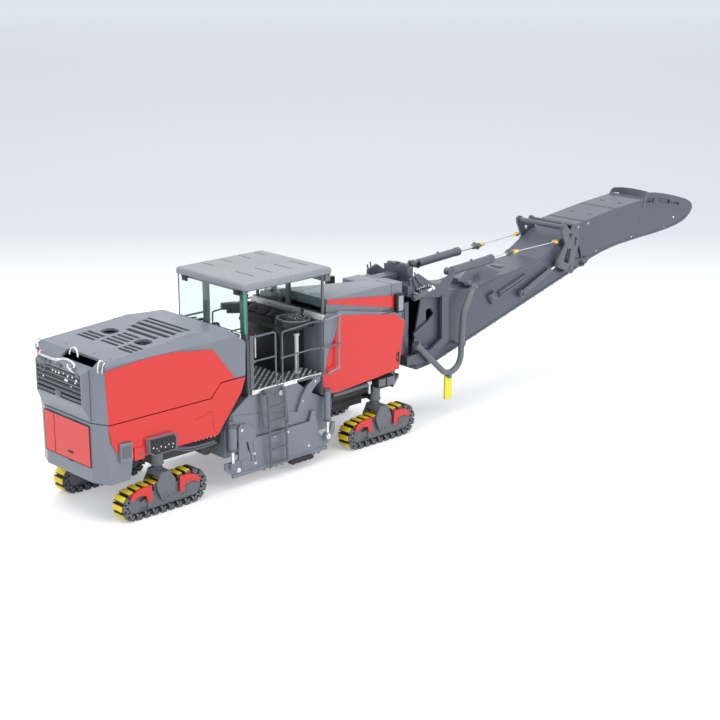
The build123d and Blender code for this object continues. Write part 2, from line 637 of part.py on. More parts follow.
with BuildPart() as canopy_frame:
    for x, y, width in ((77.9, -20.0, 3.2), (77.9, 5.5, 3.2)):
        block((x - 0.7, x + 0.7), (y - width / 2, y + width / 2), (deck_z, roof_z - roof_t))
    block((120.2, 121.8), (-0.4, 1.8), (68.0, roof_z - roof_t))
    for y in (-22.6, 22.6):
        block((120.4, 121.4), (y - 0.5, y + 0.5), (68.0, roof_z - roof_t))
    block((119.8, 121.8), (-24.4, 24.4), (66.4, 68.0))
    block((77.2, 78.6), (-22.4, 22.4), (roof_z - roof_t - 1.6, roof_z - roof_t))
    block((120.2, 121.8), (-23.1, 23.1), (roof_z - roof_t - 1.6, roof_z - roof_t))
    block((121.6, 124.4), (-24.0, -15.6), (roof_z - roof_t - 3.6, roof_z - roof_t))
    for side in (-1, 1):
        block((78.4, 121.0), tuple(sorted((side * 22.0, side * 23.0))), (roof_z - roof_t - 1.0, roof_z - roof_t))
finish(canopy_frame.part, "canopy_frame")

with BuildPart() as canopy_roof:
    with BuildSketch(deck_at(roof_z - roof_t)) as roof_plan:
        with Locations(((roof_rear_x + roof_front_x) / 2, 0)):
            Rectangle(roof_front_x - roof_rear_x, 2 * roof_half)
        fillet(roof_plan.vertices(), radius=2.0)
    extrude(roof_plan.sketch, amount=roof_t)
    fillet(canopy_roof.faces().sort_by(Axis.Z)[-1].edges(), radius=1.5)
    for x in (88.6, 99.2, 110.0, 119.4):
        block((x - 0.35, x + 0.35), (13.6, 22.4), (roof_z - 0.5, roof_z + 1), mode=Mode.SUBTRACT)
        block((x - 0.35, x + 0.35), (-14.4, -2.0), (roof_z - 0.5, roof_z + 1), mode=Mode.SUBTRACT)
finish(canopy_roof.part, "canopy_roof")

with BuildPart() as canopy_glass:
    block((76.2, 76.2 + glass_t), (-22.2, 23.6), (hinge_z + hinge_r + gap, roof_z - roof_t - gap))
    for low, high in ((-22.0, -0.5), (1.9, 22.0)):
        block((120.8, 120.8 + glass_t), (low, high), (68.2, roof_z - roof_t - 1.8))
finish(canopy_glass.part, "canopy_glass")

# ---- Front box above the primary conveyor --------------------------------------------------------

box_outline = [
    (box_rear_x, 31.0), (128.8, 30.4), (154.4, 32.2), (167.4, 33.4), (box_front_x, 56.4), (165.4, 61.2),
    (129.4, 68.4), (125.0, 66.2), (box_rear_x, 66.2),
]
upper_outline = [(122.6, 62.0), (123.0, 79.6), (150.0, 78.8), (box_front_x, 77.0), (box_front_x, 56.0)]
ledge_half = 22.6
post_outline = [(box_rear_x + 0.1, 42.4), (119.3, 66.4), (120.4, 68.8), (127.6, 67.6), (127.2, 62.0),
                (125.8, 57.6), (121.2, 49.6), (120.0, 42.4)]
lamp_z = (61.0, 69.6)

with BuildPart() as front_cover:
    plate(box_outline, core_half, 2 * core_half)
    with BuildPart(mode=Mode.PRIVATE) as upper:
        with BuildSketch(side_at(ledge_half)) as outline:
            Polygon(*upper_outline, align=None)
        extrude(outline.sketch, amount=2 * ledge_half)
        with BuildSketch(face_at(box_rear_x)) as section:
            Polygon((-ledge_half, 50), (ledge_half, 50), (ledge_half, 74.6), (18.0, 80.0), (-18.0, 80.0),
                    (-ledge_half, 74.6), align=None)
        extrude(section.sketch, amount=box_front_x - box_rear_x, mode=Mode.INTERSECT)
    add(upper.part)
    block((box_rear_x + 2.0, box_front_x + 1), (-20.0, 20.0), (20.0, 64.0), mode=Mode.SUBTRACT)
    for side in (-1, 1):
        block((126.0, 171.0), tuple(sorted((side * 12.4 - 1.6, side * 12.4 + 1.6))), (20.0, 29.4),
              mode=Mode.SUBTRACT)
        plate(post_outline, side * (core_half + post_t / 2) + post_t / 2, post_t)
finish(front_cover.part, "front_cover")

front_panel_outline = [
    (119.3, 31.4), (128.8, 30.8), (154.4, 32.6), (167.0, 33.8), (170.6, 56.0), (164.4, 60.6),
    (128.2, 66.6), (127.4, 61.6), (126.4, 57.4), (121.8, 49.4), (120.4, 41.8), (119.3, 41.8),
]
front_strip_outline = [(123.2, 72.6), (123.2, 74.3), (165.0, 69.1), (165.0, 63.4)]

# The lower rear corner of each front door leans in from a crease between these two points.
crease = [(128.9, 53.7), (146.9, 29.2)]
lean = 0.021

with BuildPart() as front_panels:
    plate(front_panel_outline, -core_half, panel)
    along = (spot(crease[1][0], 0, crease[1][1]) - spot(crease[0][0], 0, crease[0][1])).normalized()
    leaning = Plane(origin=spot(crease[0][0], -core_half - panel, crease[0][1]), x_dir=along,
                    z_dir=(along.Z * lean, -1, -along.X * lean))
    with BuildSketch(leaning) as corner:
        Rectangle(90, 90)
    extrude(corner.sketch, amount=3, mode=Mode.SUBTRACT)
    plate(front_strip_outline, -ledge_half, panel)
    mirror(about=Plane.XZ)
finish(front_panels.part, "front_panels")

with BuildPart() as side_lamps:
    block((165.6, 170.0), (-core_half - 0.6, -ledge_half), lamp_z)
    mirror(about=Plane.XZ)
finish(side_lamps.part, "side_lamps")

with BuildPart() as primary_conveyor:
    plate([(housing_front_x, 12.0), (housing_front_x, 24.0), (165.0, 56.0), (170.0, 52.0),
           (170.0, 42.0), (134.0, 14.0)], 9.6, 19.2)
finish(primary_conveyor.part, "primary_conveyor")

# ---- Slewing frame of the discharge conveyor -----------------------------------------------------

# The upper arm's square tip turns inside the frame, past the block behind the conveyor's ears.
arm_tip = 3.2
head_clear = arm_tip * math.sqrt(2) + 2 * gap

with BuildPart() as slew_socket:
    with BuildSketch(deck_at(20.4)) as lower_arm:
        Polygon((slew_bar, -14.0), (slew_x + 3.4, -4.6), (slew_x + 3.4, 4.6), (slew_bar, 14.0), align=None)
    extrude(lower_arm.sketch, amount=2.0)
    block((slew_bar - 1.0, slew_bar + 1.2), (-14.0, 14.0), (22.4, 28.8))
    block((box_front_x, box_front_x + 5.0), (-6.0, 6.0), (70.6, 72.6))
    block((box_front_x, slew_x + arm_tip), (-arm_tip, arm_tip), (70.6, 72.6))
    for z in (20.0, 70.0):
        rod(spot(slew_x, 0, z), spot(slew_x, 0, z + 3.2), 1.8 + play, mode=Mode.SUBTRACT)
finish(slew_socket.part, "slew_socket")

# Half-round hopper at the transfer point, between the conveyor's tail and the front box
hopper_r = 11.4
hopper_front_x = 187.2
hopper_z = (34.2, 60.0)

ear_y = 15.0
strut_y = 14.2

with BuildPart() as slew_frame:
    rod(spot(slew_x, 0, 22.4 + gap), spot(slew_x, 0, 70.6 - gap), 3.0)
    rod(spot(slew_x, 0, 20.4), spot(slew_x, 0, 72.6), 1.8)
    block((slew_x - 1.5, 198.0), (-ear_y, ear_y), (64.0, 69.0))
    block((slew_x + head_clear, 193.0), (-8.0, 8.0), (69.0, 75.6))
    block((slew_x - 1.5, slew_x + 2.5), (-ear_y, ear_y), (29.6, 34.0))
    for side in (-1, 1):
        y_out = side * (ear_y - 0.6) + 0.6
        plate([(slew_x, 64.0), (slew_x, 72.0), (190.0, 74.0), (200.0, 67.4), (208.0, 66.4), (213.4, 72.2),
               (216.2, 70.8), (214.8, 68.8), (209.6, 62.0), (204.0, 60.0)], y_out, 1.2)
        plate([(slew_x, 29.6), (slew_x, 34.0), (lift_x, 35.0), (199.0, 34.0), (199.0, 30.0),
               (lift_x, 29.0)], y_out, 1.2)
        plate([(206.2, 62.0), (206.2, 66.4), (208.4, 68.4), (210.8, 65.0), (211.4, 36.6), (201.6, 31.4),
               (lift_x, 29.8), (lift_x - 1.6, 33.0), (198.4, 34.4), (206.6, 38.8)],
              side * strut_y + 0.8, 1.6)
    with BuildSketch(deck_at(hopper_z[0])) as hopper_foot:
        with Locations((slew_x, 0)):
            Circle(hopper_r)
        with Locations((hopper_front_x + 20.0, 0)):
            Rectangle(40.0, 40.0, mode=Mode.SUBTRACT)
    extrude(hopper_foot.sketch, amount=1.0)
    with BuildSketch(deck_at(hopper_z[0])) as hopper_wall:
        with Locations((slew_x, 0)):
            Circle(hopper_r)
            Circle(hopper_r - 1.0, mode=Mode.SUBTRACT)
        with Locations((hopper_front_x + 20.0, 0)):
            Rectangle(40.0, 40.0, mode=Mode.SUBTRACT)
    extrude(hopper_wall.sketch, amount=hopper_z[1] - hopper_z[0])
    block((slew_x - hopper_r - 1.0, slew_x - hopper_r + 4.0), (-6.5, 6.5), (39.0, 57.0), mode=Mode.SUBTRACT)
    cross_rod(lift_x, lift_z, (-ear_y, ear_y), 1.2)
    cross_rod(base_eye_x, base_eye_z, (-ear_y, -lift_eye_y - 2.2), 0.9)
    cross_rod(base_eye_x, base_eye_z, (lift_eye_y + 2.2, ear_y), 0.9)
finish(slew_frame.part, "slew_frame")

# ---- Discharge conveyor, main section ------------------------------------------------------------

main_outline = [
    (192.0, 25.0), (204.0, 26.2), (fold_x - 1.4, 56.6), (fold_x - 0.8, 62.0), (309.4, 77.4),
    (300.0, 74.6), (283.0, 66.0), (232.0, 59.6), (206.0, 62.0), (194.4, 60.0), (188.8, 34.0),
]

with BuildPart() as main_conveyor:
    plate(main_outline, wall_half, 2 * wall_half)
    plate([(180.0, 27.5), (204.0, 28.6), (330.0, 61.0), (330.0, 75.6), (300.0, 72.8), (283.0, 64.4),
           (232.0, 58.0), (206.0, 60.4), (180.0, 58.4)], wall_half - wall, 2 * (wall_half - wall),
          mode=Mode.SUBTRACT)
    cross_rod(lift_x, lift_z, (-wall_half, wall_half), 1.2 + play, mode=Mode.SUBTRACT)
    plate([(198.1, 54.1), (201.0, 54.9), (203.6, 51.5), (198.2, 47.4)], wall_half + 1, 2 * wall_half + 2,
          mode=Mode.SUBTRACT)
    for side in (-1, 1):
        cross_rod(fold_base_x, fold_base_z,
                  tuple(sorted((side * (wall_half - 0.5), side * (fold_cylinder_y + 1.0)))), 0.6)
        cross_rod(fold_x, fold_z, tuple(sorted((side * (wall_half - wall), side * wall_half))), pivot_r)
        cross_rod(fold_x, fold_z, tuple(sorted((side * wall_half, side * (wall_half + 1.4)))), 0.8)
        cross_rod(fold_x, fold_z, tuple(sorted((side * (wall_half + 1.2), side * (wall_half + 2.0)))), 1.5)
        plate([(189.4, 42.0), (188.8, 44.2), (198.6, 48.8), (200.0, 46.0)], side * 12.6 + 0.6, 1.2)
        plate([(241.6, 53.8), (246.4, 55.5), (249.8, 51.0), (245.0, 48.9)], side * 12.8 + 0.8, 1.6)
        plate([(250.0, 54.4), (270.8, 60.6), (273.8, 57.9), (251.6, 51.4)], side * 12.4 + 0.4, 0.8)
        cross_rod(lift_x, lift_z, tuple(sorted((side * (wall_half - wall), side * (wall_half + 0.8)))), 5.0)
        cross_rod(lift_x, lift_z, tuple(sorted((side * (wall_half - 1.5), side * (wall_half + 1.0)))),
                  1.2 + play, mode=Mode.SUBTRACT)
    with BuildSketch(deck_at(62.6)) as hood_base:
        Polygon((226.5, -16.6), (231.0, -18.8), (257.0, -8.6), (257.0, 3.0), (239.0, 4.0), (228.0, -5.0),
                align=None)
    with BuildSketch(deck_at(67.8)) as hood_top:
        Polygon((236.5, -6.8), (238.5, -7.6), (246.0, -6.0), (246.0, -2.8), (240.0, -2.4), (236.5, -4.6),
                align=None)
    loft([hood_base.sketch, hood_top.sketch], ruled=True)
    plate([(230.0, 58.6), (230.0, 63.0), (256.0, 63.0), (256.0, 60.6)], 2.4, 14.4)
finish(main_conveyor.part, "main_conveyor")

belt_half = wall_half - wall - gap

with BuildPart() as main_belt:
    plate([(191.0, 29.6), (204.6, 30.2), (314.0, 58.6), (312.4, 64.6), (203.4, 36.6), (191.0, 36.0)],
          belt_half, 2 * belt_half)
    cross_rod(lift_x, lift_z, (-belt_half, belt_half), 1.2 + play, mode=Mode.SUBTRACT)
finish(main_belt.part, "main_belt")

bracket_outline = [
    (295.0, 82.4), (297.0, 83.4), (299.0, 82.8), (303.4, 78.4), (306.2, 82.2), (308.6, 81.8), (309.8, 77.0),
    (310.6, 74.2), (310.2, 70.0), (307.6, 64.4), (305.8, 57.0), (303.6, 56.2), (292.6, 61.2), (292.4, 63.2),
    (299.2, 72.0), (295.4, 79.6),
]
bracket_windows = [
    [(300.6, 69.6), (298.2, 63.0), (302.2, 61.2), (304.0, 69.0)],
    [(301.4, 77.4), (304.6, 77.2), (303.2, 74.0)],
    [(306.2, 75.2), (308.4, 74.0), (307.0, 69.0)],
]

with BuildPart() as fold_bracket:
    for side in (-1, 1):
        y_out = side * 15.1 + 0.5
        plate(bracket_outline, y_out, 1.0)
        for window in bracket_windows:
            plate(window, y_out + 1, 3, mode=Mode.SUBTRACT)
    cross_rod(297.4, 81.4, (-15.6, 15.6), 1.2)
    cross_rod(307.1, 80.8, (-15.6, 15.6), 0.8)
    for side in (-1, 1):
        y_in = tuple(sorted((side * wall_half, side * 15.4)))
        cross_rod(304.6, 56.8, y_in, 0.8)
        cross_rod(299.2, 57.2, y_in, 0.7)
        for x, z, radius in ((304.4, 58.4, 1.5), (294.4, 62.2, 1.2), (297.2, 81.4, 1.5), (308.0, 72.4, 1.1)):
            cross_rod(x, z, tuple(sorted((side * 15.4, side * 16.1))), radius)
finish(fold_bracket.part, "fold_bracket")

hose_y = 17.2
hose_r = 1.55

with BuildPart() as dust_hose:
    bent_tube([spot(227.6, -hose_y + 0.8, 62.8), spot(219.2, -hose_y, 50.0), spot(217.2, -hose_y, 11.8),
               spot(186.2, -hose_y, 40.2)], 8.0, hose_r)
finish(dust_hose.part, "dust_hose")

with BuildPart() as hose_tag:
    block((206.6, 211.4), (-hose_y - 0.5, -hose_y + 0.5), (7.8, 19.6))
finish(hose_tag.part, "hose_tag")

# ---- Discharge conveyor, folding front section ---------------------------------------------------

front_outline = [
    (fold_x + 2.8, 58.0), (326.0, 60.2), (335.0, 62.2), (346.0, 63.7), (359.0, 64.7), (372.0, 65.2),
    (384.0, 65.7), (394.0, 66.4), (402.0, 67.4), (408.0, 68.7), (412.6, 70.6), (415.8, 72.9),
    (tip_x, 75.4), (417.0, 77.6), (414.8, 79.5), (411.0, 81.3), (405.6, 83.0), (398.0, 85.1),
    (390.0, 87.0), (382.0, 88.6), (374.6, 89.4), (372.4, 88.6), (371.0, 86.4), (345.0, 84.4), (312.0, 80.6),
    (311.2, 79.0), (fold_x + 0.8, 62.4), (fold_x + 2.6, 60.2),
]

# The first opening goes through each wall; the other two are pockets in its outer face.
nose_window = [(373.6, 86.8), (380.2, 85.8), (379.4, 82.9), (373.0, 83.8)]
nose_pockets = [
    [(385.7, 84.9), (395.0, 82.9), (394.8, 80.9), (386.3, 82.4)],
    [(397.5, 81.6), (403.6, 80.1), (403.9, 79.0), (398.2, 80.2)],
]

with BuildPart() as front_conveyor:
    plate(front_outline, wall_half, 2 * wall_half)
    plate([(300.0, 57.0), (330.0, 62.4), (345.0, 65.0), (376.0, 66.8), (406.0, 69.4), (430.0, 80.0),
           (430.0, 100.0), (371.6, 95.0), (371.4, 85.2), (345.0, 83.0), (300.0, 77.6)],
          wall_half - wall, 2 * (wall_half - wall), mode=Mode.SUBTRACT)
    plate(nose_window, wall_half + 1, 2 * wall_half + 2, mode=Mode.SUBTRACT)
    for pocket in nose_pockets:
        for side in (-1, 1):
            plate(pocket, side * wall_half + 0.6, 1.2, mode=Mode.SUBTRACT)
    for side in (-1, 1):
        y_lever = side * (wall_half + gap + 0.35) + 0.35
        plate([(fold_x - 1.0, 57.0), (fold_x + 5.0, 58.6), (fold_x + 5.8, 61.6), (fold_x, 61.4),
               (fold_eye_x, 63.0), (fold_eye_x - 1.0, 61.8), (fold_eye_x, 60.6)], y_lever, 0.7)
        cross_rod(fold_x + 4.4, fold_z + 1.8, tuple(sorted((side * (wall_half - 0.5), side * 12.9))), 1.2)
        cross_rod(fold_eye_x, fold_eye_z, tuple(sorted((side * 12.6, side * 13.1))), 0.8)
        cross_rod(fold_x, fold_z, tuple(sorted((side * wall_half, side * 14.0))), 0.8 + play,
                  mode=Mode.SUBTRACT)
finish(front_conveyor.part, "front_conveyor")

with BuildPart() as front_belt:
    plate([(319.0, 61.0), (345.0, 66.0), (376.0, 67.8), (405.4, 70.4), (411.4, 74.0), (410.0, 76.8),
           (404.0, 76.6), (345.0, 72.0), (318.0, 67.0)], belt_half, 2 * belt_half)
finish(front_belt.part, "front_belt")

# ---- Lift and fold cylinders ---------------------------------------------------------------------

clevis_z = 73.0

for side, name in ((-1, "right"), (1, "left")):
    y = side * lift_eye_y
    base = spot(base_eye_x, y, base_eye_z)
    cable_end = spot(cable_end_x, side * 13.4, cable_end_z)
    clevis = spot(clevis_x, y, clevis_z)
    run = (clevis - base).normalized()
    with BuildPart() as lift_barrel:
        rod(base + run * 1.6, base + run * 31.0, 2.1)
        cross_rod(base_eye_x, base_eye_z, (y - 2.0, y + 2.0), 1.9)
        cross_rod(base_eye_x, base_eye_z, (y - 2.1, y + 2.1), 0.9 + play, mode=Mode.SUBTRACT)
        rod(base + run * 3.4, base + run * 33.0, 0.9 + play, mode=Mode.SUBTRACT)
    finish(lift_barrel.part, "lift_barrel_" + name)
    with BuildPart() as lift_rod:
        rod(base + run * 12.4, clevis, 0.9)
        cross_rod(clevis_x, clevis_z, (y - 1.8, y + 1.8), 1.6)
        rod(clevis, clevis + (cable_end - clevis) * 0.96, 0.45)
        rod(clevis + (cable_end - clevis) * 0.88, clevis + (cable_end - clevis) * 0.96, 1.1)
    finish(lift_rod.part, "lift_rod_" + name)

    y = side * fold_cylinder_y
    base = spot(fold_base_x, y, fold_base_z)
    eye = spot(fold_eye_x, y, fold_eye_z)
    run = (eye - base).normalized()
    with BuildPart() as fold_barrel:
        rod(base + run * 0.6, base + run * 24.0, 1.35)
        cross_rod(fold_base_x, fold_base_z, (y - 0.9, y + 0.9), 1.8)
        cross_rod(fold_base_x, fold_base_z, (y - 1.1, y + 1.1), 0.6 + play, mode=Mode.SUBTRACT)
        rod(base + run * 3.0, base + run * 26.0, 0.6 + play, mode=Mode.SUBTRACT)
    finish(fold_barrel.part, "fold_barrel_" + name)
    with BuildPart() as fold_rod:
        rod(base + run * 4.0, eye - run * 0.8, 0.6)
        cross_rod(fold_eye_x, fold_eye_z, (y - 0.5, y + 0.5), 1.2)
        cross_rod(fold_eye_x, fold_eye_z, (y - 0.8, y + 0.8), 0.6, mode=Mode.SUBTRACT)
    finish(fold_rod.part, "fold_rod_" + name)
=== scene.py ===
import math

import bmesh
import bpy
from mathutils import Euler, Matrix, Vector


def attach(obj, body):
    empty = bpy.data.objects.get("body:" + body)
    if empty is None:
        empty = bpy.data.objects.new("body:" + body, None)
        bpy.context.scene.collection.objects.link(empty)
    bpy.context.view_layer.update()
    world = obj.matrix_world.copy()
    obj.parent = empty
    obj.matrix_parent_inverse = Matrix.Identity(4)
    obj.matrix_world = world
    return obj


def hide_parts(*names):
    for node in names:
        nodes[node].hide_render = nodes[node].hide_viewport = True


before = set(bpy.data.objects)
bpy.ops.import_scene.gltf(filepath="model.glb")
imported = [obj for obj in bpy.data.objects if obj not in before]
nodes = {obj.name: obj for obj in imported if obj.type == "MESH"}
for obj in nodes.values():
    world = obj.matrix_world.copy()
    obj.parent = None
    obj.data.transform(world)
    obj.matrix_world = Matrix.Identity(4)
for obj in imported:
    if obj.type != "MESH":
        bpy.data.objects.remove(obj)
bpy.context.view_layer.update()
scene = bpy.context.scene

lookYaw = math.radians(46.48)
lookPitch = math.radians(16.55)
lookAlong = Vector((math.cos(lookPitch) * math.cos(lookYaw), math.cos(lookPitch) * math.sin(lookYaw),
                    -math.sin(lookPitch)))
viewData = bpy.data.cameras.new("view")
viewData.lens = 77.63
viewData.sensor_width = 36.0
viewObject = bpy.data.objects.new("view", viewData)
scene.collection.objects.link(viewObject)
viewObject.location = (-0.5351, -0.51947, 0.24577)
viewObject.rotation_euler = lookAlong.to_track_quat("-Z", "Y").to_euler()
scene.camera = viewObject
print("view set")


def feed(tree, node, inputs):
    # An input is a number, a colour or another node's output.
    for key, value in inputs.items():
        if isinstance(value, bpy.types.NodeSocket):
            tree.links.new(value, node.inputs[key])
        else:
            node.inputs[key].default_value = value


def addNode(tree, kind, inputs=None, **settings):
    made = tree.nodes.new(kind)
    for key, value in settings.items():
        setattr(made, key, value)
    feed(tree, made, inputs or {})
    return made


def maths(tree, operation, *values):
    return addNode(tree, "ShaderNodeMath", dict(enumerate(values)), operation=operation).outputs[0]


def dotted(tree, first, second):
    return addNode(tree, "ShaderNodeVectorMath", {0: first, 1: second}, operation="DOT_PRODUCT").outputs["Value"]


def nodeTree(name):
    material = bpy.data.materials.new(name)
    material.use_nodes = True
    tree = material.node_tree
    return material, tree, tree.nodes["Principled BSDF"], addNode(tree, "ShaderNodeTexCoord").outputs["Object"]


def noise(tree, coords, scale, detail=3.0):
    return addNode(tree, "ShaderNodeTexNoise", {"Vector": coords, "Scale": scale, "Detail": detail,
                                                "Roughness": 0.55}).outputs["Fac"]


def ramp(tree, value, low, high, start=0.0, end=1.0):
    return addNode(tree, "ShaderNodeMapRange", {"Value": value, "From Min": start, "From Max": end,
                                                "To Min": low, "To Max": high}).outputs["Result"]


def blendColours(tree, fac, first, second):
    first, second = [(*tone, 1.0) if isinstance(tone, (tuple, list)) else tone for tone in (first, second)]
    return addNode(tree, "ShaderNodeMix", {0: fac, 6: first, 7: second}, data_type="RGBA").outputs[2]


def bump(tree, height, strength, distance, after=None):
    inputs = {"Height": height, "Strength": strength, "Distance": distance}
    if after is not None:
        inputs["Normal"] = after
    return addNode(tree, "ShaderNodeBump", inputs).outputs["Normal"]


def edgeMask(tree, coords, width, high):
    # Worn edges: where a rounded normal leaves the true one, broken up by noise.
    bevel = addNode(tree, "ShaderNodeBevel", {"Radius": width}, samples=3)
    geometry = addNode(tree, "ShaderNodeNewGeometry")
    edge = ramp(tree, dotted(tree, bevel.outputs["Normal"], geometry.outputs["Normal"]), 1.0, 0.0, 0.80, 0.99)
    return maths(tree, "MULTIPLY", edge, ramp(tree, noise(tree, coords, 900.0, 4.0), 0.0, high, 0.35, 0.65))


def toned(colour, factor, lift=0.0):
    return tuple(min(1.0, c * factor + lift) for c in colour)


def paint(name, colour, shade=0.10, roughness=(0.34, 0.46), coat=0.25, edges=0.0, grain=0.12):
    material, tree, shader, coords = nodeTree(name)
    base = blendColours(tree, ramp(tree, noise(tree, coords, 42.0, 1.5), 0.0, 1.0, 0.15, 0.85),
                        toned(colour, 1.0 - shade), toned(colour, 1.0 + shade * 0.6))
    if edges:
        base = blendColours(tree, edgeMask(tree, coords, 0.00035, edges), base, toned(colour, 1.35, 0.05))
    feed(tree, shader, {"Base Color": base, "Coat Weight": coat, "Coat Roughness": 0.22,
                        "Roughness": ramp(tree, noise(tree, coords, 70.0, 1.5), *roughness, 0.15, 0.85),
                        "Normal": bump(tree, noise(tree, coords, 120.0, 1.0), grain, 0.00003)})
    return material


def plastic(name, colour, shade=0.12, roughness=(0.42, 0.58), grain=0.2, edges=0.25):
    material, tree, shader, coords = nodeTree(name)
    base = blendColours(tree, ramp(tree, noise(tree, coords, 130.0, 4.0), 0.0, 1.0, 0.3, 0.7),
                        toned(colour, 1.0 - shade), toned(colour, 1.0 + shade))
    base = blendColours(tree, edgeMask(tree, coords, 0.00025, edges), base, toned(colour, 1.5, 0.02))
    feed(tree, shader, {"Base Color": base, "Specular IOR Level": 0.45,
                        "Roughness": ramp(tree, noise(tree, coords, 500.0), *roughness, 0.3, 0.7),
                        "Normal": bump(tree, noise(tree, coords, 4200.0, 2.0), grain, 0.00005)})
    return material


def metal(name, colour, roughness=(0.18, 0.32), grain=0.12):
    material, tree, shader, coords = nodeTree(name)
    tone = noise(tree, coords, 700.0, 4.0)
    base = blendColours(tree, ramp(tree, tone, 0.0, 1.0, 0.3, 0.7), toned(colour, 0.82), colour)
    feed(tree, shader, {"Base Color": base, "Metallic": 1.0, "Roughness": ramp(tree, tone, *roughness, 0.3, 0.7),
                        "Normal": bump(tree, tone, grain, 0.00004)})
    return material


def rubber(name, colour, ribs=0.0):
    material, tree, shader, coords = nodeTree(name)
    base = blendColours(tree, ramp(tree, noise(tree, coords, 260.0, 5.0), 0.0, 1.0, 0.3, 0.7),
                        toned(colour, 0.75), colour)
    dust = ramp(tree, noise(tree, coords, 45.0, 5.0), 0.0, 0.35, 0.5, 0.75)
    skin = bump(tree, noise(tree, coords, 2800.0, 3.0), 0.35, 0.00006)
    if ribs:
        wave = addNode(tree, "ShaderNodeTexWave", {"Vector": coords, "Scale": math.pi / (10.0 * ribs),
                                                   "Distortion": 0.3}, bands_direction="X")
        skin = bump(tree, wave.outputs["Fac"], 0.5, 0.0002, skin)
    feed(tree, shader, {"Base Color": blendColours(tree, dust, base, toned(colour, 1.6, 0.01)), "Normal": skin,
                        "Roughness": ramp(tree, noise(tree, coords, 600.0), 0.6, 0.8, 0.3, 0.7)})
    return material


def clearPane(name, tint):
    material, tree, shader, coords = nodeTree(name)
    feed(tree, shader, {"Base Color": blendColours(tree, noise(tree, coords, 30.0), tint, toned(tint, 1.03)),
                        "Transmission Weight": 1.0, "IOR": 1.3,
                        "Roughness": ramp(tree, noise(tree, coords, 180.0), 0.01, 0.04),
                        "Normal": bump(tree, noise(tree, coords, 60.0, 1.0), 0.05, 0.00005)})
    return material


mm = 0.001
midX = 207.15
sides = {"right": -1, "left": 1}


def at(x, y, z):
    # Place in the shared frame of a spot in millimetres: forward from the rear panel, left and up.
    return Vector(((x - midX) * mm, y * mm, z * mm))


machine = Matrix.Translation(at(0, 0, 0))


def soften(shape, edges, width):
    if width:
        bmesh.ops.bevel(shape, geom=edges, offset=width * mm, segments=2, profile=0.6, affect="EDGES",
                        clamp_overlap=True)


def slab(shape, low, high, soft=0.15, place=machine):
    # Block between two corners with rounded edges; place is a matrix for a turned one.
    low, high = Vector(tuple(map(min, low, high))), Vector(tuple(map(max, low, high)))
    matrix = place @ Matrix.Translation((low + high) / 2 * mm) @ Matrix.Diagonal((*((high - low) * mm), 1.0))
    made = bmesh.ops.create_cube(shape, size=1.0, matrix=matrix)
    soften(shape, list({edge for vert in made["verts"] for edge in vert.link_edges}), soft)


def prism(shape, outline, low, high, across="y", soft=0.12, place=machine):
    # Plate with an outline in the two other directions, from low to high across it.
    def corner(point, level):
        spot = {"y": (point[0], level, point[1]), "x": (level, point[0], point[1]),
                "z": (point[0], point[1], level)}[across]
        return shape.verts.new(place @ (Vector(spot) * mm))

    first, second = [[corner(point, level) for point in outline] for level in sorted((low, high))]
    faces = [shape.faces.new(first), shape.faces.new(second[::-1])]
    for k in range(len(outline)):
        after = (k + 1) % len(outline)
        faces.append(shape.faces.new((first[after], first[k], second[k], second[after])))
    bmesh.ops.recalc_face_normals(shape, faces=faces)
    soften(shape, list({edge for face in faces for edge in face.edges}), soft)


def stack(shape, rings, closed=False):
    # Skin over rings of vertices, with flat ends or, when closed, joined to a ring.
    faces = [shape.faces.new((lower[k - 1], lower[k], upper[k], upper[k - 1]))
             for lower, upper in zip(rings, rings[1:] + (rings[:1] if closed else [])) for k in range(len(lower))]
    if not closed:
        faces += [shape.faces.new(rings[0][::-1]), shape.faces.new(rings[-1])]
    bmesh.ops.recalc_face_normals(shape, faces=faces)


def ring(shape, centre, aside, up, radius, around):
    return [shape.verts.new(centre + (aside * math.cos(2 * math.pi * k / around)
                                      + up * math.sin(2 * math.pi * k / around)) * radius * mm)
            for k in range(around)]


def turned(shape, start, end, profile, around=20, closed=False):
    # Solid of revolution: profile holds (distance from start, radius) pairs.
    start, end = at(*start), at(*end)
    along = (end - start).normalized()
    aside = along.orthogonal().normalized()
    stack(shape, [ring(shape, start + along * reach * mm, aside, along.cross(aside), radius, around)
                  for reach, radius in profile], closed)


def bar(shape, start, end, radius, around=14, chamfer=0.12):
    length = (at(*end) - at(*start)).length / mm
    cut = min(chamfer, radius * 0.4)
    turned(shape, start, end, [(0, radius - cut), (cut, radius), (length - cut, radius), (length, radius - cut)],
           around)


def washer(shape, start, end, inner, outer, around=20, chamfer=0.1):
    length = (at(*end) - at(*start)).length / mm
    turned(shape, start, end, [(0, inner), (0, outer - chamfer), (chamfer, outer), (length - chamfer, outer),
                               (length, outer - chamfer), (length, inner)], around, closed=True)


def tube(shape, points, radius, around=3):
    data = bpy.data.curves.new("tube", "CURVE")
    data.dimensions = "3D"
    data.bevel_depth = radius * mm
    data.bevel_resolution = around
    data.use_fill_caps = True
    data.resolution_u = 5
    spline = data.splines.new("NURBS")
    spline.points.add(len(points) - 1)
    for point, spot in zip(spline.points, points):
        point.co = (*at(*spot), 1.0)
    spline.order_u = 3
    spline.use_endpoint_u = True
    carrier = bpy.data.objects.new("tube", data)
    scene.collection.objects.link(carrier)
    mesh = bpy.data.meshes.new_from_object(carrier)
    shape.from_mesh(mesh)
    bpy.data.objects.remove(carrier)
    bpy.data.meshes.remove(mesh)
    bpy.data.curves.remove(data)


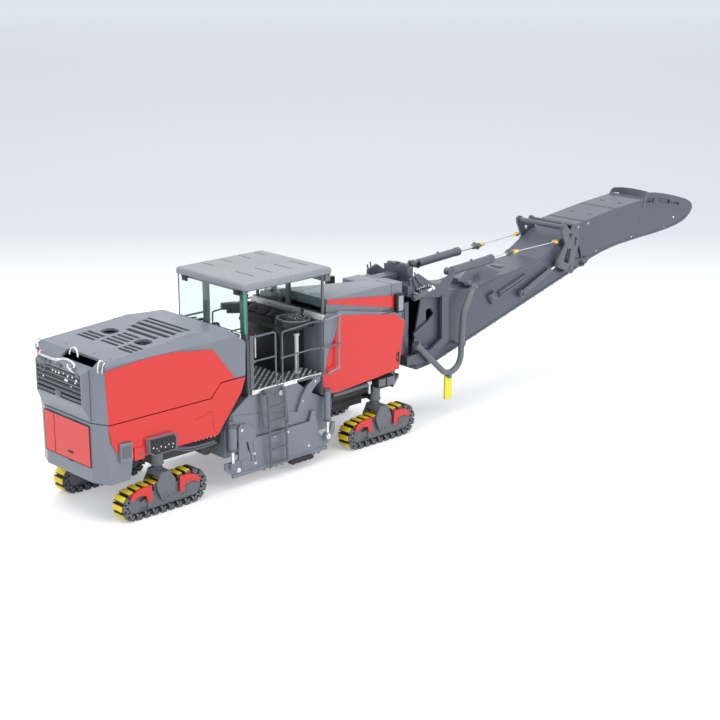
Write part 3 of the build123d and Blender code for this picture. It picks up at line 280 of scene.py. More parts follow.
def mirrored(build, count):
    # The same solid on both sides; its first values are places, given for the left.
    def flip(value, side):
        return [flip(spot, side) for spot in value] if isinstance(value, list) else (
            value[0], side * value[1], value[2])

    def pair(shape, *values):
        for side in (-1, 1):
            build(shape, *[flip(value, side) for value in values[:count]], *values[count:])
    return pair


slabs, bars, washers = mirrored(slab, 2), mirrored(bar, 2), mirrored(washer, 2)
spindles, tubes = mirrored(turned, 2), mirrored(tube, 1)


def plates(shape, outline, near, far, soft=0.12):
    for side in (-1, 1):
        prism(shape, outline, side * near, side * far, "y", soft)


def border(shape, outline, inner, *settings):
    # Plates that join an outline to a second one of as many points.
    for k in range(len(outline)):
        after = (k + 1) % len(outline)
        prism(shape, [outline[k], outline[after], inner[after], inner[k]], *settings)


def shrunk(outline, middle, factor):
    return [tuple(middle + (Vector(point) - middle) * factor) for point in outline]


def settle(name, mesh, finish, body, smooth=32.0):
    mesh.polygons.foreach_set("use_smooth", [True] * len(mesh.polygons))
    mesh.set_sharp_from_angle(angle=math.radians(smooth))
    mesh.materials.clear()
    mesh.materials.append(finish)
    piece = bpy.data.objects.new(name, mesh)
    scene.collection.objects.link(piece)
    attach(piece, body)
    return piece


def piece(name, shape, finish, body="chassis", smooth=32.0):
    bmesh.ops.remove_doubles(shape, verts=shape.verts, dist=2e-6)
    bmesh.ops.recalc_face_normals(shape, faces=shape.faces)
    mesh = bpy.data.meshes.new(name)
    shape.to_mesh(mesh)
    shape.free()
    return settle(name, mesh, finish, body, smooth)


def repeater():
    # Node group that sets one pattern on every point, turned and sized by the point's own values.
    group = bpy.data.node_groups.new("repeater", "GeometryNodeTree")
    for name, kind in (("Points", "Geometry"), ("Pattern", "Object"), ("Finish", "Material"), ("Spread", "Float"),
                       ("Seed", "Int")):
        group.interface.new_socket(name, in_out="INPUT", socket_type="NodeSocket" + kind)
    group.interface.new_socket("Result", in_out="OUTPUT", socket_type="NodeSocketGeometry")
    entry = addNode(group, "NodeGroupInput").outputs
    pattern = addNode(group, "GeometryNodeObjectInfo", {"Object": entry["Pattern"]})
    turn = addNode(group, "GeometryNodeInputNamedAttribute", {"Name": "turn"}, data_type="FLOAT_VECTOR")
    size = addNode(group, "GeometryNodeInputNamedAttribute", {"Name": "size"}, data_type="FLOAT")
    vary = addNode(group, "FunctionNodeRandomValue", {2: maths(group, "SUBTRACT", 1.0, entry["Spread"]), 3: 1.0,
                                                      "Seed": entry["Seed"]}, data_type="FLOAT")
    spread = addNode(group, "GeometryNodeInstanceOnPoints", {
        "Points": entry["Points"], "Instance": pattern.outputs["Geometry"], "Rotation": turn.outputs[0],
        "Scale": maths(group, "MULTIPLY", size.outputs[0], vary.outputs[1])})
    real = addNode(group, "GeometryNodeRealizeInstances", {"Geometry": spread.outputs["Instances"]})
    coat = addNode(group, "GeometryNodeSetMaterial", {"Geometry": real.outputs["Geometry"],
                                                      "Material": entry["Finish"]})
    addNode(group, "NodeGroupOutput", {"Result": coat.outputs["Geometry"]})
    return group


repeatGroup = repeater()


def repeat(name, pattern, spots, finish, body="chassis", spread=0.0, seed=1):
    # spots: (place in metres, way that the pattern's z axis points or a full turn, size)
    patternMesh = bpy.data.meshes.new(name + "Pattern")
    bmesh.ops.recalc_face_normals(pattern, faces=pattern.faces)
    pattern.to_mesh(patternMesh)
    pattern.free()
    source = bpy.data.objects.new(name + "Pattern", patternMesh)
    points = bpy.data.meshes.new(name + "Points")
    points.from_pydata([tuple(place) for place, way, size in spots], [], [])
    points.attributes.new("turn", "FLOAT_VECTOR", "POINT")
    points.attributes.new("size", "FLOAT", "POINT")
    turns = [way if isinstance(way, Euler) else Vector(way).to_track_quat("Z", "Y").to_euler()
             for place, way, size in spots]
    points.attributes["turn"].data.foreach_set("vector", [value for euler in turns for value in euler])
    points.attributes["size"].data.foreach_set("value", [size for place, way, size in spots])
    carrier = bpy.data.objects.new(name + "Points", points)
    for made in (source, carrier):
        scene.collection.objects.link(made)
    modifier = carrier.modifiers.new("repeat", "NODES")
    modifier.node_group = repeatGroup
    values = {"Pattern": source, "Finish": finish, "Spread": spread, "Seed": seed}
    for item in repeatGroup.interface.items_tree:
        if item.in_out == "INPUT" and item.name in values:
            modifier[item.identifier] = values[item.name]
    bpy.context.view_layer.update()
    ready = carrier.evaluated_get(bpy.context.evaluated_depsgraph_get())
    mesh = bpy.data.meshes.new_from_object(ready)
    mesh.name = name
    for layer in ("turn", "size"):
        if layer in mesh.attributes:
            mesh.attributes.remove(mesh.attributes[layer])
    for made in (carrier, source):
        bpy.data.objects.remove(made)
    for made in (points, patternMesh):
        bpy.data.meshes.remove(made)
    return settle(name, mesh, finish, body)


def head(*parts):
    # Small head that stands on z: each part is a profile of (height, radius) pairs and its corner count.
    pattern = bmesh.new()
    for profile, around in parts:
        stack(pattern, [ring(pattern, Vector((0, 0, height * mm)), Vector((1, 0, 0)), Vector((0, 1, 0)), radius,
                             around) for height, radius in profile])
    return pattern


def hexBolt():
    return head((((0.0, 0.92), (0.45, 0.92), (0.62, 0.66)), 6), (((-0.05, 1.3), (0.12, 1.3), (0.2, 1.15)), 12))


def dome():
    return head((((-0.1, 1.0), (0.12, 1.0), (0.3, 0.8), (0.42, 0.45)), 10))


def both(spots):
    # The same spots (x, y, z, size) on the right-hand side and mirrored on the left.
    return [(at(x, side * y, z), (0, side, 0), size) for x, y, z, size in spots for side in (-1, 1)]


def rowOf(y, size, *places):
    # Spots (x, z) of one size on both sides, at the distance y from the middle.
    return both([(x, y, z, size) for x, z in places])


def banded(material, axis, start, end, colour, folded=None):
    # Second colour where an object coordinate lies between start and end; folded mirrors it about that value.
    tree = material.node_tree
    shader = tree.nodes["Principled BSDF"]
    coords = addNode(tree, "ShaderNodeTexCoord").outputs["Object"]
    value = addNode(tree, "ShaderNodeSeparateXYZ", {"Vector": coords}).outputs[axis]
    if folded is not None:
        value = maths(tree, "ABSOLUTE", maths(tree, "SUBTRACT", maths(tree, "ABSOLUTE", value), folded))
    near = maths(tree, "COMPARE", value, (start + end) / 2, (end - start) / 2)
    old = shader.inputs["Base Color"].links[0].from_socket
    feed(tree, shader, {"Base Color": blendColours(tree, near, old, colour)})
    return material


bodyGrey = paint("bodyGrey", (0.205, 0.232, 0.278), edges=0.45)
deepGrey = paint("deepGrey", (0.086, 0.099, 0.138), edges=0.4)
roofGrey = paint("roofGrey", (0.27, 0.295, 0.335), edges=0.35)
railGrey = paint("railGrey", (0.118, 0.131, 0.158), roughness=(0.35, 0.5), edges=0.5)
loopGrey = paint("loopGrey", (0.26, 0.285, 0.33), roughness=(0.3, 0.42), edges=0.5)
postGrey = paint("postGrey", (0.145, 0.17, 0.185), roughness=(0.35, 0.5), edges=0.4)
frameGrey = paint("frameGrey", (0.022, 0.023, 0.026), roughness=(0.45, 0.6), coat=0.05, edges=0.15)
deckGrey = paint("deckGrey", (0.075, 0.082, 0.098), roughness=(0.45, 0.6), coat=0.05, edges=0.4)
redPaint = paint("redPaint", (0.76, 0.02, 0.014), shade=0.01, roughness=(0.28, 0.30), coat=0.3, grain=0.004)
trackGrey = plastic("trackGrey", (0.20, 0.21, 0.235), roughness=(0.5, 0.66))
# Dark grey that stands for the yellow track pads where they lie in shade: painted shade.
padShadeGrey = plastic("padShadeGrey", (0.10, 0.106, 0.122), roughness=(0.5, 0.66))
plateGrey = paint("plateGrey", (0.155, 0.168, 0.196), roughness=(0.45, 0.58), coat=0.05, edges=0.4)
blackPlastic = plastic("blackPlastic", (0.018, 0.019, 0.021))
softBlack = plastic("softBlack", (0.017, 0.018, 0.02), roughness=(0.5, 0.62))
yellowPad = plastic("yellowPad", (1.0, 0.72, 0.03), shade=0.08, roughness=(0.4, 0.55), edges=0.15)
yellowTag = plastic("yellowTag", (1.0, 0.9, 0.05), shade=0.04, roughness=(0.3, 0.4), edges=0.1)
hoseGrey = paint("hoseGrey", (0.15, 0.165, 0.185), roughness=(0.32, 0.45), edges=0.2)
beltRubber = rubber("beltRubber", (0.022, 0.022, 0.024), ribs=0.0022)
gripRubber = rubber("gripRubber", (0.020, 0.020, 0.021))
brightSteel = metal("brightSteel", (0.82, 0.83, 0.85))
darkSteel = metal("darkSteel", (0.20, 0.205, 0.215), roughness=(0.38, 0.55), grain=0.3)
brass = metal("brass", (0.90, 0.60, 0.20))
whiteEnamel = paint("whiteEnamel", (0.80, 0.81, 0.83), shade=0.04, roughness=(0.25, 0.35), grain=0.04)
paneClear = clearPane("paneClear", (0.80, 0.90, 0.885))
paneEdge = plastic("paneEdge", (0.01, 0.42, 0.22), shade=0.1, roughness=(0.1, 0.2), grain=0.02, edges=0.0)
paneRim = plastic("paneRim", (0.09, 0.13, 0.13), shade=0.1, roughness=(0.2, 0.3), grain=0.02, edges=0.2)
paleLens = plastic("paleLens", (0.40, 0.42, 0.45), shade=0.05, roughness=(0.12, 0.22), grain=0.05, edges=0.0)
# The rear grille stays grey behind x = -2.35 mm and turns near black from there forward into the machine: painted
# shade in the grille's depth.
grilleGrey = banded(plastic("grilleGrey", (0.115, 0.125, 0.145)), "X", -0.2095, 0.0, (0.012, 0.012, 0.014))
# Near black over the middle band of the crawler, between the shoe sides where the chain lies: painted shade inside
# the track.
shoeSplit = banded(plastic("shoeSplit", (0.105, 0.112, 0.13)), "Y", 0.0, 0.00302, (0.012, 0.012, 0.014),
                   folded=0.0218)

slotNames = {
    "grey_paint": (bodyGrey, deepGrey, roofGrey, railGrey, loopGrey, postGrey, deckGrey, plateGrey, hoseGrey,
                   whiteEnamel),
    "red_paint": (redPaint,), "dark_metal": (frameGrey, darkSteel), "bright_metal": (brightSteel, brass),
    "black_plastic": (blackPlastic, softBlack, grilleGrey, paneRim, paleLens),
    "track_plastic": (trackGrey, padShadeGrey, shoeSplit), "black_rubber": (beltRubber, gripRubber),
    "yellow_plastic": (yellowPad, yellowTag), "clear_glass": (paneClear, paneEdge),
}
for slotName, members in slotNames.items():
    for member in members:
        member["slotName"] = slotName
print("materials made")

finishes = {
    "main_frame": frameGrey, "lower_body": bodyGrey, "body_panels": redPaint, "engine_block": blackPlastic,
    "platform": deckGrey, "drum_housing": bodyGrey, "front_cover": bodyGrey, "front_panels": redPaint,
    "primary_conveyor": frameGrey, "canopy_roof": roofGrey, "canopy_frame": postGrey, "canopy_glass": paneClear,
    "railings": railGrey, "ladders": railGrey, "console": softBlack, "seat": softBlack,
    "pods": softBlack, "side_lamps": blackPlastic, "plate_cylinders": bodyGrey, "slew_socket": deepGrey,
    "hood": bodyGrey, "hood_panels": redPaint, "rear_grille": grilleGrey, "milling_drum": darkSteel,
    "slew_frame": deepGrey, "main_conveyor": deepGrey, "main_belt": beltRubber, "fold_bracket": railGrey,
    "dust_hose": hoseGrey, "hose_tag": yellowTag, "front_conveyor": deepGrey, "front_belt": beltRubber,
}
for sideName in sides:
    finishes["side_plate_" + sideName] = bodyGrey
    finishes["lift_barrel_" + sideName] = railGrey
    finishes["lift_rod_" + sideName] = brightSteel
    finishes["fold_barrel_" + sideName] = railGrey
    finishes["fold_rod_" + sideName] = brightSteel
    for unitName in ("rear", "front"):
        finishes["crawler_" + unitName + "_" + sideName] = shoeSplit
        finishes["track_frame_" + unitName + "_" + sideName] = plateGrey
        finishes["guards_" + unitName + "_" + sideName] = redPaint
for name, node in nodes.items():
    for index in range(len(node.material_slots)):
        node.material_slots[index].material = finishes[name]
print("frame finished")


# Track units: pads, chain links, hubs and bolts

track = {"idlerX": -15.4, "idlerR": 6.4, "driveX": 14.4, "driveR": 7.6, "count": 25, "sink": 0.25, "middleY": 21.8,
         "columnY": 20.2}
units = {"rear": 29.3, "front": 155.5}


def loopPlaces(unitX):
    # Middle and turn of every shoe along the fixed loop, as the CAD lays them.
    loop = dict(track, idlerX=unitX + track["idlerX"], driveX=unitX + track["driveX"])
    a, b = Vector((loop["idlerX"], loop["idlerR"])), Vector((loop["driveX"], loop["driveR"]))
    rise = math.asin((loop["driveR"] - loop["idlerR"]) / (b - a).length)
    lean = math.atan2(b.y - a.y, b.x - a.x) + rise
    runs = [b.x - a.x, loop["driveR"] * (math.pi + lean)]
    runs.append(math.sqrt((b - a).length ** 2 - (loop["driveR"] - loop["idlerR"]) ** 2))
    runs.append(loop["idlerR"] * (math.pi - lean))
    step = sum(runs) / loop["count"]
    made = []
    for index in range(loop["count"]):
        s = (index + 0.5) * step
        if s < runs[0]:
            made.append((a.x + s, 0, 0, "low"))
        elif s < runs[0] + runs[1]:
            angle = (s - runs[0]) / loop["driveR"]
            reach = loop["driveR"] - loop["sink"]
            made.append((b.x + reach * math.sin(angle), b.y - reach * math.cos(angle), angle, "drive"))
        elif s < runs[0] + runs[1] + runs[2]:
            run = s - runs[0] - runs[1]
            angle = math.pi + lean
            made.append((b.x - loop["driveR"] * math.sin(lean) - run * math.cos(lean),
                         b.y + loop["driveR"] * math.cos(lean) - run * math.sin(lean), angle, "top"))
        else:
            angle = math.pi + lean + (s - runs[0] - runs[1] - runs[2]) / loop["idlerR"]
            reach = loop["idlerR"] - loop["sink"]
            made.append((a.x + reach * math.sin(angle), a.y - reach * math.cos(angle), angle, "idler"))
    return made


def padPattern():
    settings = {"low": (-1.18, -3.25, -0.1), "high": (1.18, 3.25, 0.42), "soft": 0.16}
    pattern = bmesh.new()
    slab(pattern, settings["low"], settings["high"], settings["soft"], Matrix.Identity(4))
    return pattern


def linkPattern():
    # Chain link in the x, z plane: an open hook round the pin and a tail to the next one.
    outline = [(0.75, 0.35), (0.95, -0.15), (0.75, -0.65), (0.25, -0.95), (-0.3, -0.95), (-0.75, -0.65),
               (-0.95, -0.1), (-1.3, 0.3), (-1.3, 0.75), (-0.6, 0.75), (-0.3, 0.2), (-0.45, -0.15), (-0.25, -0.5),
               (0.15, -0.5), (0.4, -0.2), (0.3, 0.2)]
    pattern = bmesh.new()
    prism(pattern, outline, -0.3, 0.3, "y", 0, Matrix.Identity(4))
    return pattern


def trackTrim():
    for unitName, unitX in units.items():
        shoes = loopPlaces(unitX)
        for sideName, side in sides.items():
            tag = unitName + "_" + sideName
            body = "unit_" + tag
            centreY = track["middleY"] * side
            idlerX, driveX = unitX + track["idlerX"], unitX + track["driveX"]
            columnY = track["columnY"] * side
            yellow, padsInShade, links, teeth = [], [], [], []
            for x, z, angle, part in shoes:
                inward = Vector((-math.sin(angle), 0, math.cos(angle)))
                turn = Euler((0, math.pi - angle, 0))
                if part != "low":
                    # Pads on the top run and the upper idler are yellow; those round the drive wheel and the lower
                    # idler are drawn dark grey instead: painted shade on the yellow pads.
                    bright = part == "top" or (part == "idler" and z > 1.3)
                    target = yellow if bright else padsInShade
                    if z > 1.1:
                        target.append((at(x, centreY, z), turn, 1))
                for cheek in (-1, 1):
                    spot = at(x, centreY + cheek * 3.28, z) + inward * 2.15 * mm
                    links.append((spot, Euler((0, -angle, 0)), 1.12))
                    teeth.append((at(x, centreY + cheek * 3.62, z) + inward * 0.62 * mm, (0, cheek, 0), 0.3))
            repeat("pads_" + tag, padPattern(), yellow, yellowPad, body, seed=3)
            repeat("shoeTreads_" + tag, padPattern(), padsInShade, padShadeGrey, body, seed=5)
            repeat("links_" + tag, linkPattern(), links, trackGrey, body, seed=7)
            repeat("linkPins_" + tag, dome(), teeth, darkSteel, body, spread=0.1, seed=9)

            hubs = bmesh.new()
            faceY = centreY + side * 3.2
            turned(hubs, (idlerX, faceY - side * 0.2, track["idlerR"]), (idlerX, faceY + side, track["idlerR"]),
                   [(0, 2.95), (0.35, 2.95), (0.5, 2.75), (0.5, 1.5), (0.78, 1.2), (0.78, 0.5), (0.62, 0.4)], 28)
            turned(hubs, (driveX, faceY - side * 0.2, track["driveR"]), (driveX, faceY + side, track["driveR"]),
                   [(0, 3.5), (0.32, 3.5), (0.45, 3.35), (0.45, 2.3), (0.7, 2), (0.7, 0.9), (0.55, 0.8)], 28)
            headY = centreY + side * 4.8
            washer(hubs, (unitX, headY - side * 0.1, 7.6), (unitX, headY + side * 0.35, 7.6), 0.75, 1.5, 24)
            turned(hubs, (unitX, headY - side * 0.1, 7.6), (unitX, headY + side, 7.6),
                   [(0, 0.7), (0.22, 0.7), (0.3, 0.55)], 6)
            for dx, dz in ((-5.6, 4), (9.4, 4.4)):
                prism(hubs, [(unitX + dx - 0.6, dz + 0.6), (unitX + dx + 2.6, dz + 0.6), (unitX + dx + 2.2, dz + 1.2),
                             (unitX + dx - 0.2, dz + 1.2)], faceY - 0.25, faceY + 0.25, "y", 0.08)
            prism(hubs, [(unitX - 8.9, 4.4), (unitX - 6.9, 4.4), (unitX - 6.1, 10.4), (unitX - 8.3, 9.8)],
                  faceY - 0.35, faceY + 0.35, "y", 0.12)
            piece("hubs_" + tag, hubs, plateGrey, body)

            bolts = []
            for k in range(6):
                angle = k * math.pi / 3 + 0.3
                bolts.append((at(driveX + 2.8 * math.cos(angle), faceY + side * 0.22,
                                 track["driveR"] + 2.8 * math.sin(angle)), (0, side, 0), 0.34))
                bolts.append((at(idlerX + 2.1 * math.cos(angle), faceY + side * 0.27,
                                 track["idlerR"] + 2.1 * math.sin(angle)), (0, side, 0), 0.3))
            guardY = centreY + side * 4.5
            for dx, dz in ((8.3, 11.8), (8.2, 8.4), (14.4, 12.2)):
                for end in (-1, 1):
                    bolts.append((at(unitX + end * dx, guardY, dz), (0, side, 0), 0.36))
            for dx, dz in ((-3.3, 12.4), (3.3, 12.4), (-2.6, 14.6), (2.6, 14.6)):
                bolts.append((at(unitX + dx, headY, dz), (0, side, 0), 0.32))
            repeat("unitBolts_" + tag, hexBolt(), bolts, darkSteel, body, seed=11)

            collar = bmesh.new()
            turned(collar, (unitX, columnY, 20), (unitX, columnY, 30),
                   [(0, 1.85), (0, 2.75), (0.3, 2.95), (1.2, 2.95), (1.5, 2.7), (6.2, 2.7), (6.4, 2.9), (7, 2.9),
                    (7, 2.6), (7, 1.85)], 28, closed=True)
            piece("sleeve_" + tag, collar, plateGrey)
            neck = bmesh.new()
            washer(neck, (unitX, columnY, 18.2), (unitX, columnY, 18.9), 1.72, 2.5, 24)
            piece("neck_" + tag, neck, plateGrey, body)


trackTrim()
print("tracks trimmed")


# Rear body and hood trim

def rearTrim():
    settings = {"faceX": -3.2, "barZ": 66.9}
    rods = bmesh.new()
    x = settings["faceX"] + 0.2
    tube(rods, [(x + 2.4, 16, 67.4), (x, 15.2, settings["barZ"]), (x, 8, 67.1), (x, 1.8, 67), (x + 1.6, 0.9, 67.2)],
         0.46)
    tube(rods, [(x + 0.4, 5.2, 66.4), (x - 0.2, 3.4, 67.6), (x, 0.6, 67), (x, -3.4, 68.6), (x, -7, 69.4),
                (x, -11.8, 68.6), (x - 0.1, -12.8, 67.2), (x, -9.9, 65.7), (x + 0.6, -8.6, 65.4)], 0.44)
    tube(rods, [(x + 0.6, -6.2, 66.6), (x - 0.3, -7.4, 66), (x - 0.2, -11, 64.6), (x + 0.5, -12.6, 64.4)], 0.38)
    tube(rods, [(1.9, -1.6, 69.2), (2.1, -1.7, 71), (2.4, -4.5, 72.9), (2.1, -7.4, 71), (1.9, -7.5, 69.2)], 0.42)
    tubes(rods, [(1.2, 22.4, 66), (0.7, 22.7, 67), (1.4, 22.9, 70.4), (2.6, 22.7, 71), (3.6, 22.7, 70.2)], 0.32)
    tubes(rods, [(2.5, 23.5, 65.4), (2, 23.9, 66.2), (2.6, 24, 69.4), (3.4, 23.8, 69.8)], 0.26)
    piece("rearRods", rods, brightSteel, "engine_hood")

    boxes = bmesh.new()
    for low, high in (((-3.5, 8.6, 63.4), (-2.2, 14.8, 66.4)), ((-3.6, 5.4, 64.2), (-2.4, 8, 66)),
                      ((-3.7, -2.6, 64.6), (-2.3, 0.8, 66.2)), ((-3.5, -12.4, 65.8), (-2.3, -10.4, 67.2)),
                      ((-3.4, -15.4, 62.8), (-2.4, -13, 64.6))):
        slab(boxes, low, high, 0.35)
    tube(boxes, [(-3, 12.8, 63.8), (-3.3, 12.4, 61.4), (-3.2, 10.8, 60.6), (-3.2, 9.4, 61.6), (-3, 9.2, 63.6)], 0.55)
    piece("rearBoxes", boxes, railGrey, "engine_hood")

    clips = []
    for y, z, size in ((3.6, 62.4, 0.5), (1.4, 62.2, 0.42), (-1, 62.3, 0.5), (-4.2, 62.6, 0.4), (-7.4, 62.2, 0.5),
                       (-10.6, 62.4, 0.42), (-13.4, 61.6, 0.5), (-5.4, 60.2, 0.5), (-6.6, 60.2, 0.5),
                       (-12.6, 60.4, 0.42), (11, 58.4, 0.4), (-9.4, 58.2, 0.42), (13.6, 65, 0.42), (-11.4, 66.6, 0.4),
                       (-1, 65.4, 0.42)):
        clips.append((at(-3.25, y, z), (-1, 0, 0), size))
    repeat("rearClips", hexBolt(), clips, brightSteel, "engine_hood", spread=0.2, seed=2)

    plaque = bmesh.new()
    slab(plaque, (-3.55, -1.8, 51.9), (-3, 2.2, 54.6), 0.2)
    slab(plaque, (-3.7, -1.2, 52.4), (-3.3, 1.6, 54.1), 0.18)
    for z in (53.6, 55.8, 57.9, 60.1, 62.2, 64.1):
        slab(plaque, (-3.32, -15.9, z - 0.09), (-3.1, 15.9, z + 0.09), 0.05)
    piece("grilleFrame", plaque, railGrey, "engine_hood")

    latches = bmesh.new()
    for y, z, x in ((-2.2, 28.1, -0.62), (-1.2, 24.2, 0)):
        prism(latches, [(y - 2.1, z), (y - 1.6, z + 0.55), (y + 1.6, z + 0.55), (y + 2.1, z), (y + 1.6, z - 0.55),
                        (y - 1.6, z - 0.55)], x - 0.16, x + 0.2, "x", 0.1)
        slab(latches, (x - 0.3, y - 1.1, z - 0.2), (x, y + 1.1, z + 0.22), 0.08)
    piece("rearLatches", latches, blackPlastic)
    seams = bmesh.new()
    slab(seams, (-0.68, -16.3, 42.1), (-0.3, 16.3, 42.36), 0.04)
    slab(seams, (-0.68, -16.6, 24.6), (-0.3, -16.36, 42.2), 0.04)
    slab(seams, (-0.68, 16.36, 24.6), (-0.3, 16.6, 42.2), 0.04)
    slab(seams, (-0.68, -16.3, 24.5), (-0.3, 16.3, 24.74), 0.04)
    slab(seams, (-0.72, 9, 25), (-0.3, 9.16, 42), 0.03)
    piece("rearSeals", seams, gripRubber)


def sideTrim():
    outline = [(20.8, 28.2), (20.8, 34.3), (34.2, 34.1), (35.6, 32.4), (35.2, 26.8), (23.4, 26.6)]
    middle = Vector((28, 30.6))
    for sideName, side in sides.items():
        face = side * 26.6
        rim = bmesh.new()
        border(rim, outline, shrunk(outline, middle, 0.88), min(face, face + side * 0.35) - 0.05,
               max(face, face + side * 0.35), "y", 0.08)
        piece("controlRim_" + sideName, rim, railGrey)
        pad = bmesh.new()
        prism(pad, shrunk(outline, middle, 0.87), face - 0.1, face + side * 0.12, "y", 0.05)
        for low, high in (((23.2, 31), (24.6, 33)), ((25.4, 31.2), (27, 33.2)), ((27.8, 31), (28.8, 33)),
                          ((29.6, 31.4), (31.6, 33)), ((32.2, 30.8), (33.4, 32.6))):
            slab(pad, (low[0], face, low[1]), (high[0], face + side * 0.3, high[1]), 0.1)
        piece("controlPad_" + sideName, pad, softBlack)
        buttons = []
        for x, z, size in ((23.4, 30, 0.42), (25.2, 29.4, 0.34), (27.2, 29.8, 0.38), (29.4, 29, 0.5),
                           (31.2, 29.8, 0.34), (33.4, 29.6, 0.5), (24.2, 32, 0.3), (26.2, 32.2, 0.3),
                           (30.4, 32.2, 0.36), (32.8, 31.8, 0.3), (33, 28.2, 0.32), (26, 28.2, 0.3)):
            buttons.append((at(x, face + side * 0.14, z), (0, side, 0), size))
        repeat("controlButtons_" + sideName, dome(), buttons, whiteEnamel, spread=0.3, seed=4)

    repeat("tabBolts", hexBolt(), both([(18.2, 25.5, 28.4, 0.62), (10.4, 25.9, 28.2, 0.3), (12.6, 25.9, 33.8, 0.3)]),
           darkSteel, seed=6)
    corners = bmesh.new()
    slabs(corners, (8.4, 25.8, 28.6), (13, 26.05, 33.8), 0.12)
    tubes(corners, [(35, 22.6, 26.4), (41, 23, 24.6), (49, 22.8, 23.4), (58, 22.4, 23.6)], 0.55)
    tubes(corners, [(36, 21.6, 25.2), (42, 22.2, 23), (50, 21.8, 21.8), (60, 21.4, 22.2)], 0.5)
    piece("sideCovers", corners, railGrey)
    dots = [(37 + k * 2.1, 20.62, 25.4 - 0.05 * k, 0.3) for k in range(12)]
    repeat("railRivets", dome(), both(dots), brightSteel, spread=0.25, seed=8)

    # Seams between the covers' own panels
    seams = bmesh.new()
    for start, end in (((46, 36.4), (55.6, 38.2)), ((55.6, 38.2), (56.2, 30.2)), ((56.2, 30.2), (58, 27.4))):
        along = Vector((end[0] - start[0], end[1] - start[1])).normalized() * 0.07
        across = Vector((-along.y, along.x))
        plates(seams, [(start[0] - across.x, start[1] - across.y), (end[0] - across.x, end[1] - across.y),
                       (end[0] + across.x, end[1] + across.y), (start[0] + across.x, start[1] + across.y)], 24.97,
                       25.03, 0)
    piece("bodySeams", seams, gripRubber)


def hoodTrim():
    pipes = bmesh.new()
    for y in (-14.6, 9):
        turned(pipes, (28.9, y, 61.8), (28.9, y, 72),
               [(0, 1.5), (0, 2), (8.2, 2), (8.6, 1.85), (8.6, 1.6), (0.8, 1.5)], 22, closed=True)
    piece("exhaustPipes", pipes, darkSteel, "engine_hood")
    # Thin near-black sheets inside the hood, under its top and behind its rear edge: painted shade seen through the
    # hood's openings.
    shadeSheets = bmesh.new()
    prism(shadeSheets, [(16, -23), (53, -18), (53, 14), (16, 18.5)], 66.9, 67.2, "z", 0)
    slab(shadeSheets, (1.5, -18.2, 65.2), (5.2, 4, 65.5), 0)
    piece("hoodBaffles", shadeSheets, gripRubber, "engine_hood")
    spots = []
    for x, y in ((8, 21.2), (8, 10), (40, 21.6), (60, 20), (60, 8)):
        z = 70 + (x - 4.5) * 3.3 / 42.1 if x < 46.6 else 73 - (x - 46.6) * 1.5 / 20.1
        for side in (-1, 1):
            spots.append((at(x, side * y, z - 0.02), (0, 0, 1), 0.36))
    repeat("hoodScrews", dome(), spots, bodyGrey, "engine_hood", seed=12)
    hinges = bmesh.new()
    for side in (-1, 1):
        for start, end in ((side * 13.6, side * 14), (side * 18.2, side * 18.7), (side * 9.2, side * 9.5)):
            bar(hinges, (76, start, 66), (76, end, 66), 0.75, 16)
    piece("hingeCaps", hinges, brightSteel)


rearTrim()
sideTrim()
hoodTrim()
print("rear body trimmed")


# Drum housing, side plates, platform and canopy

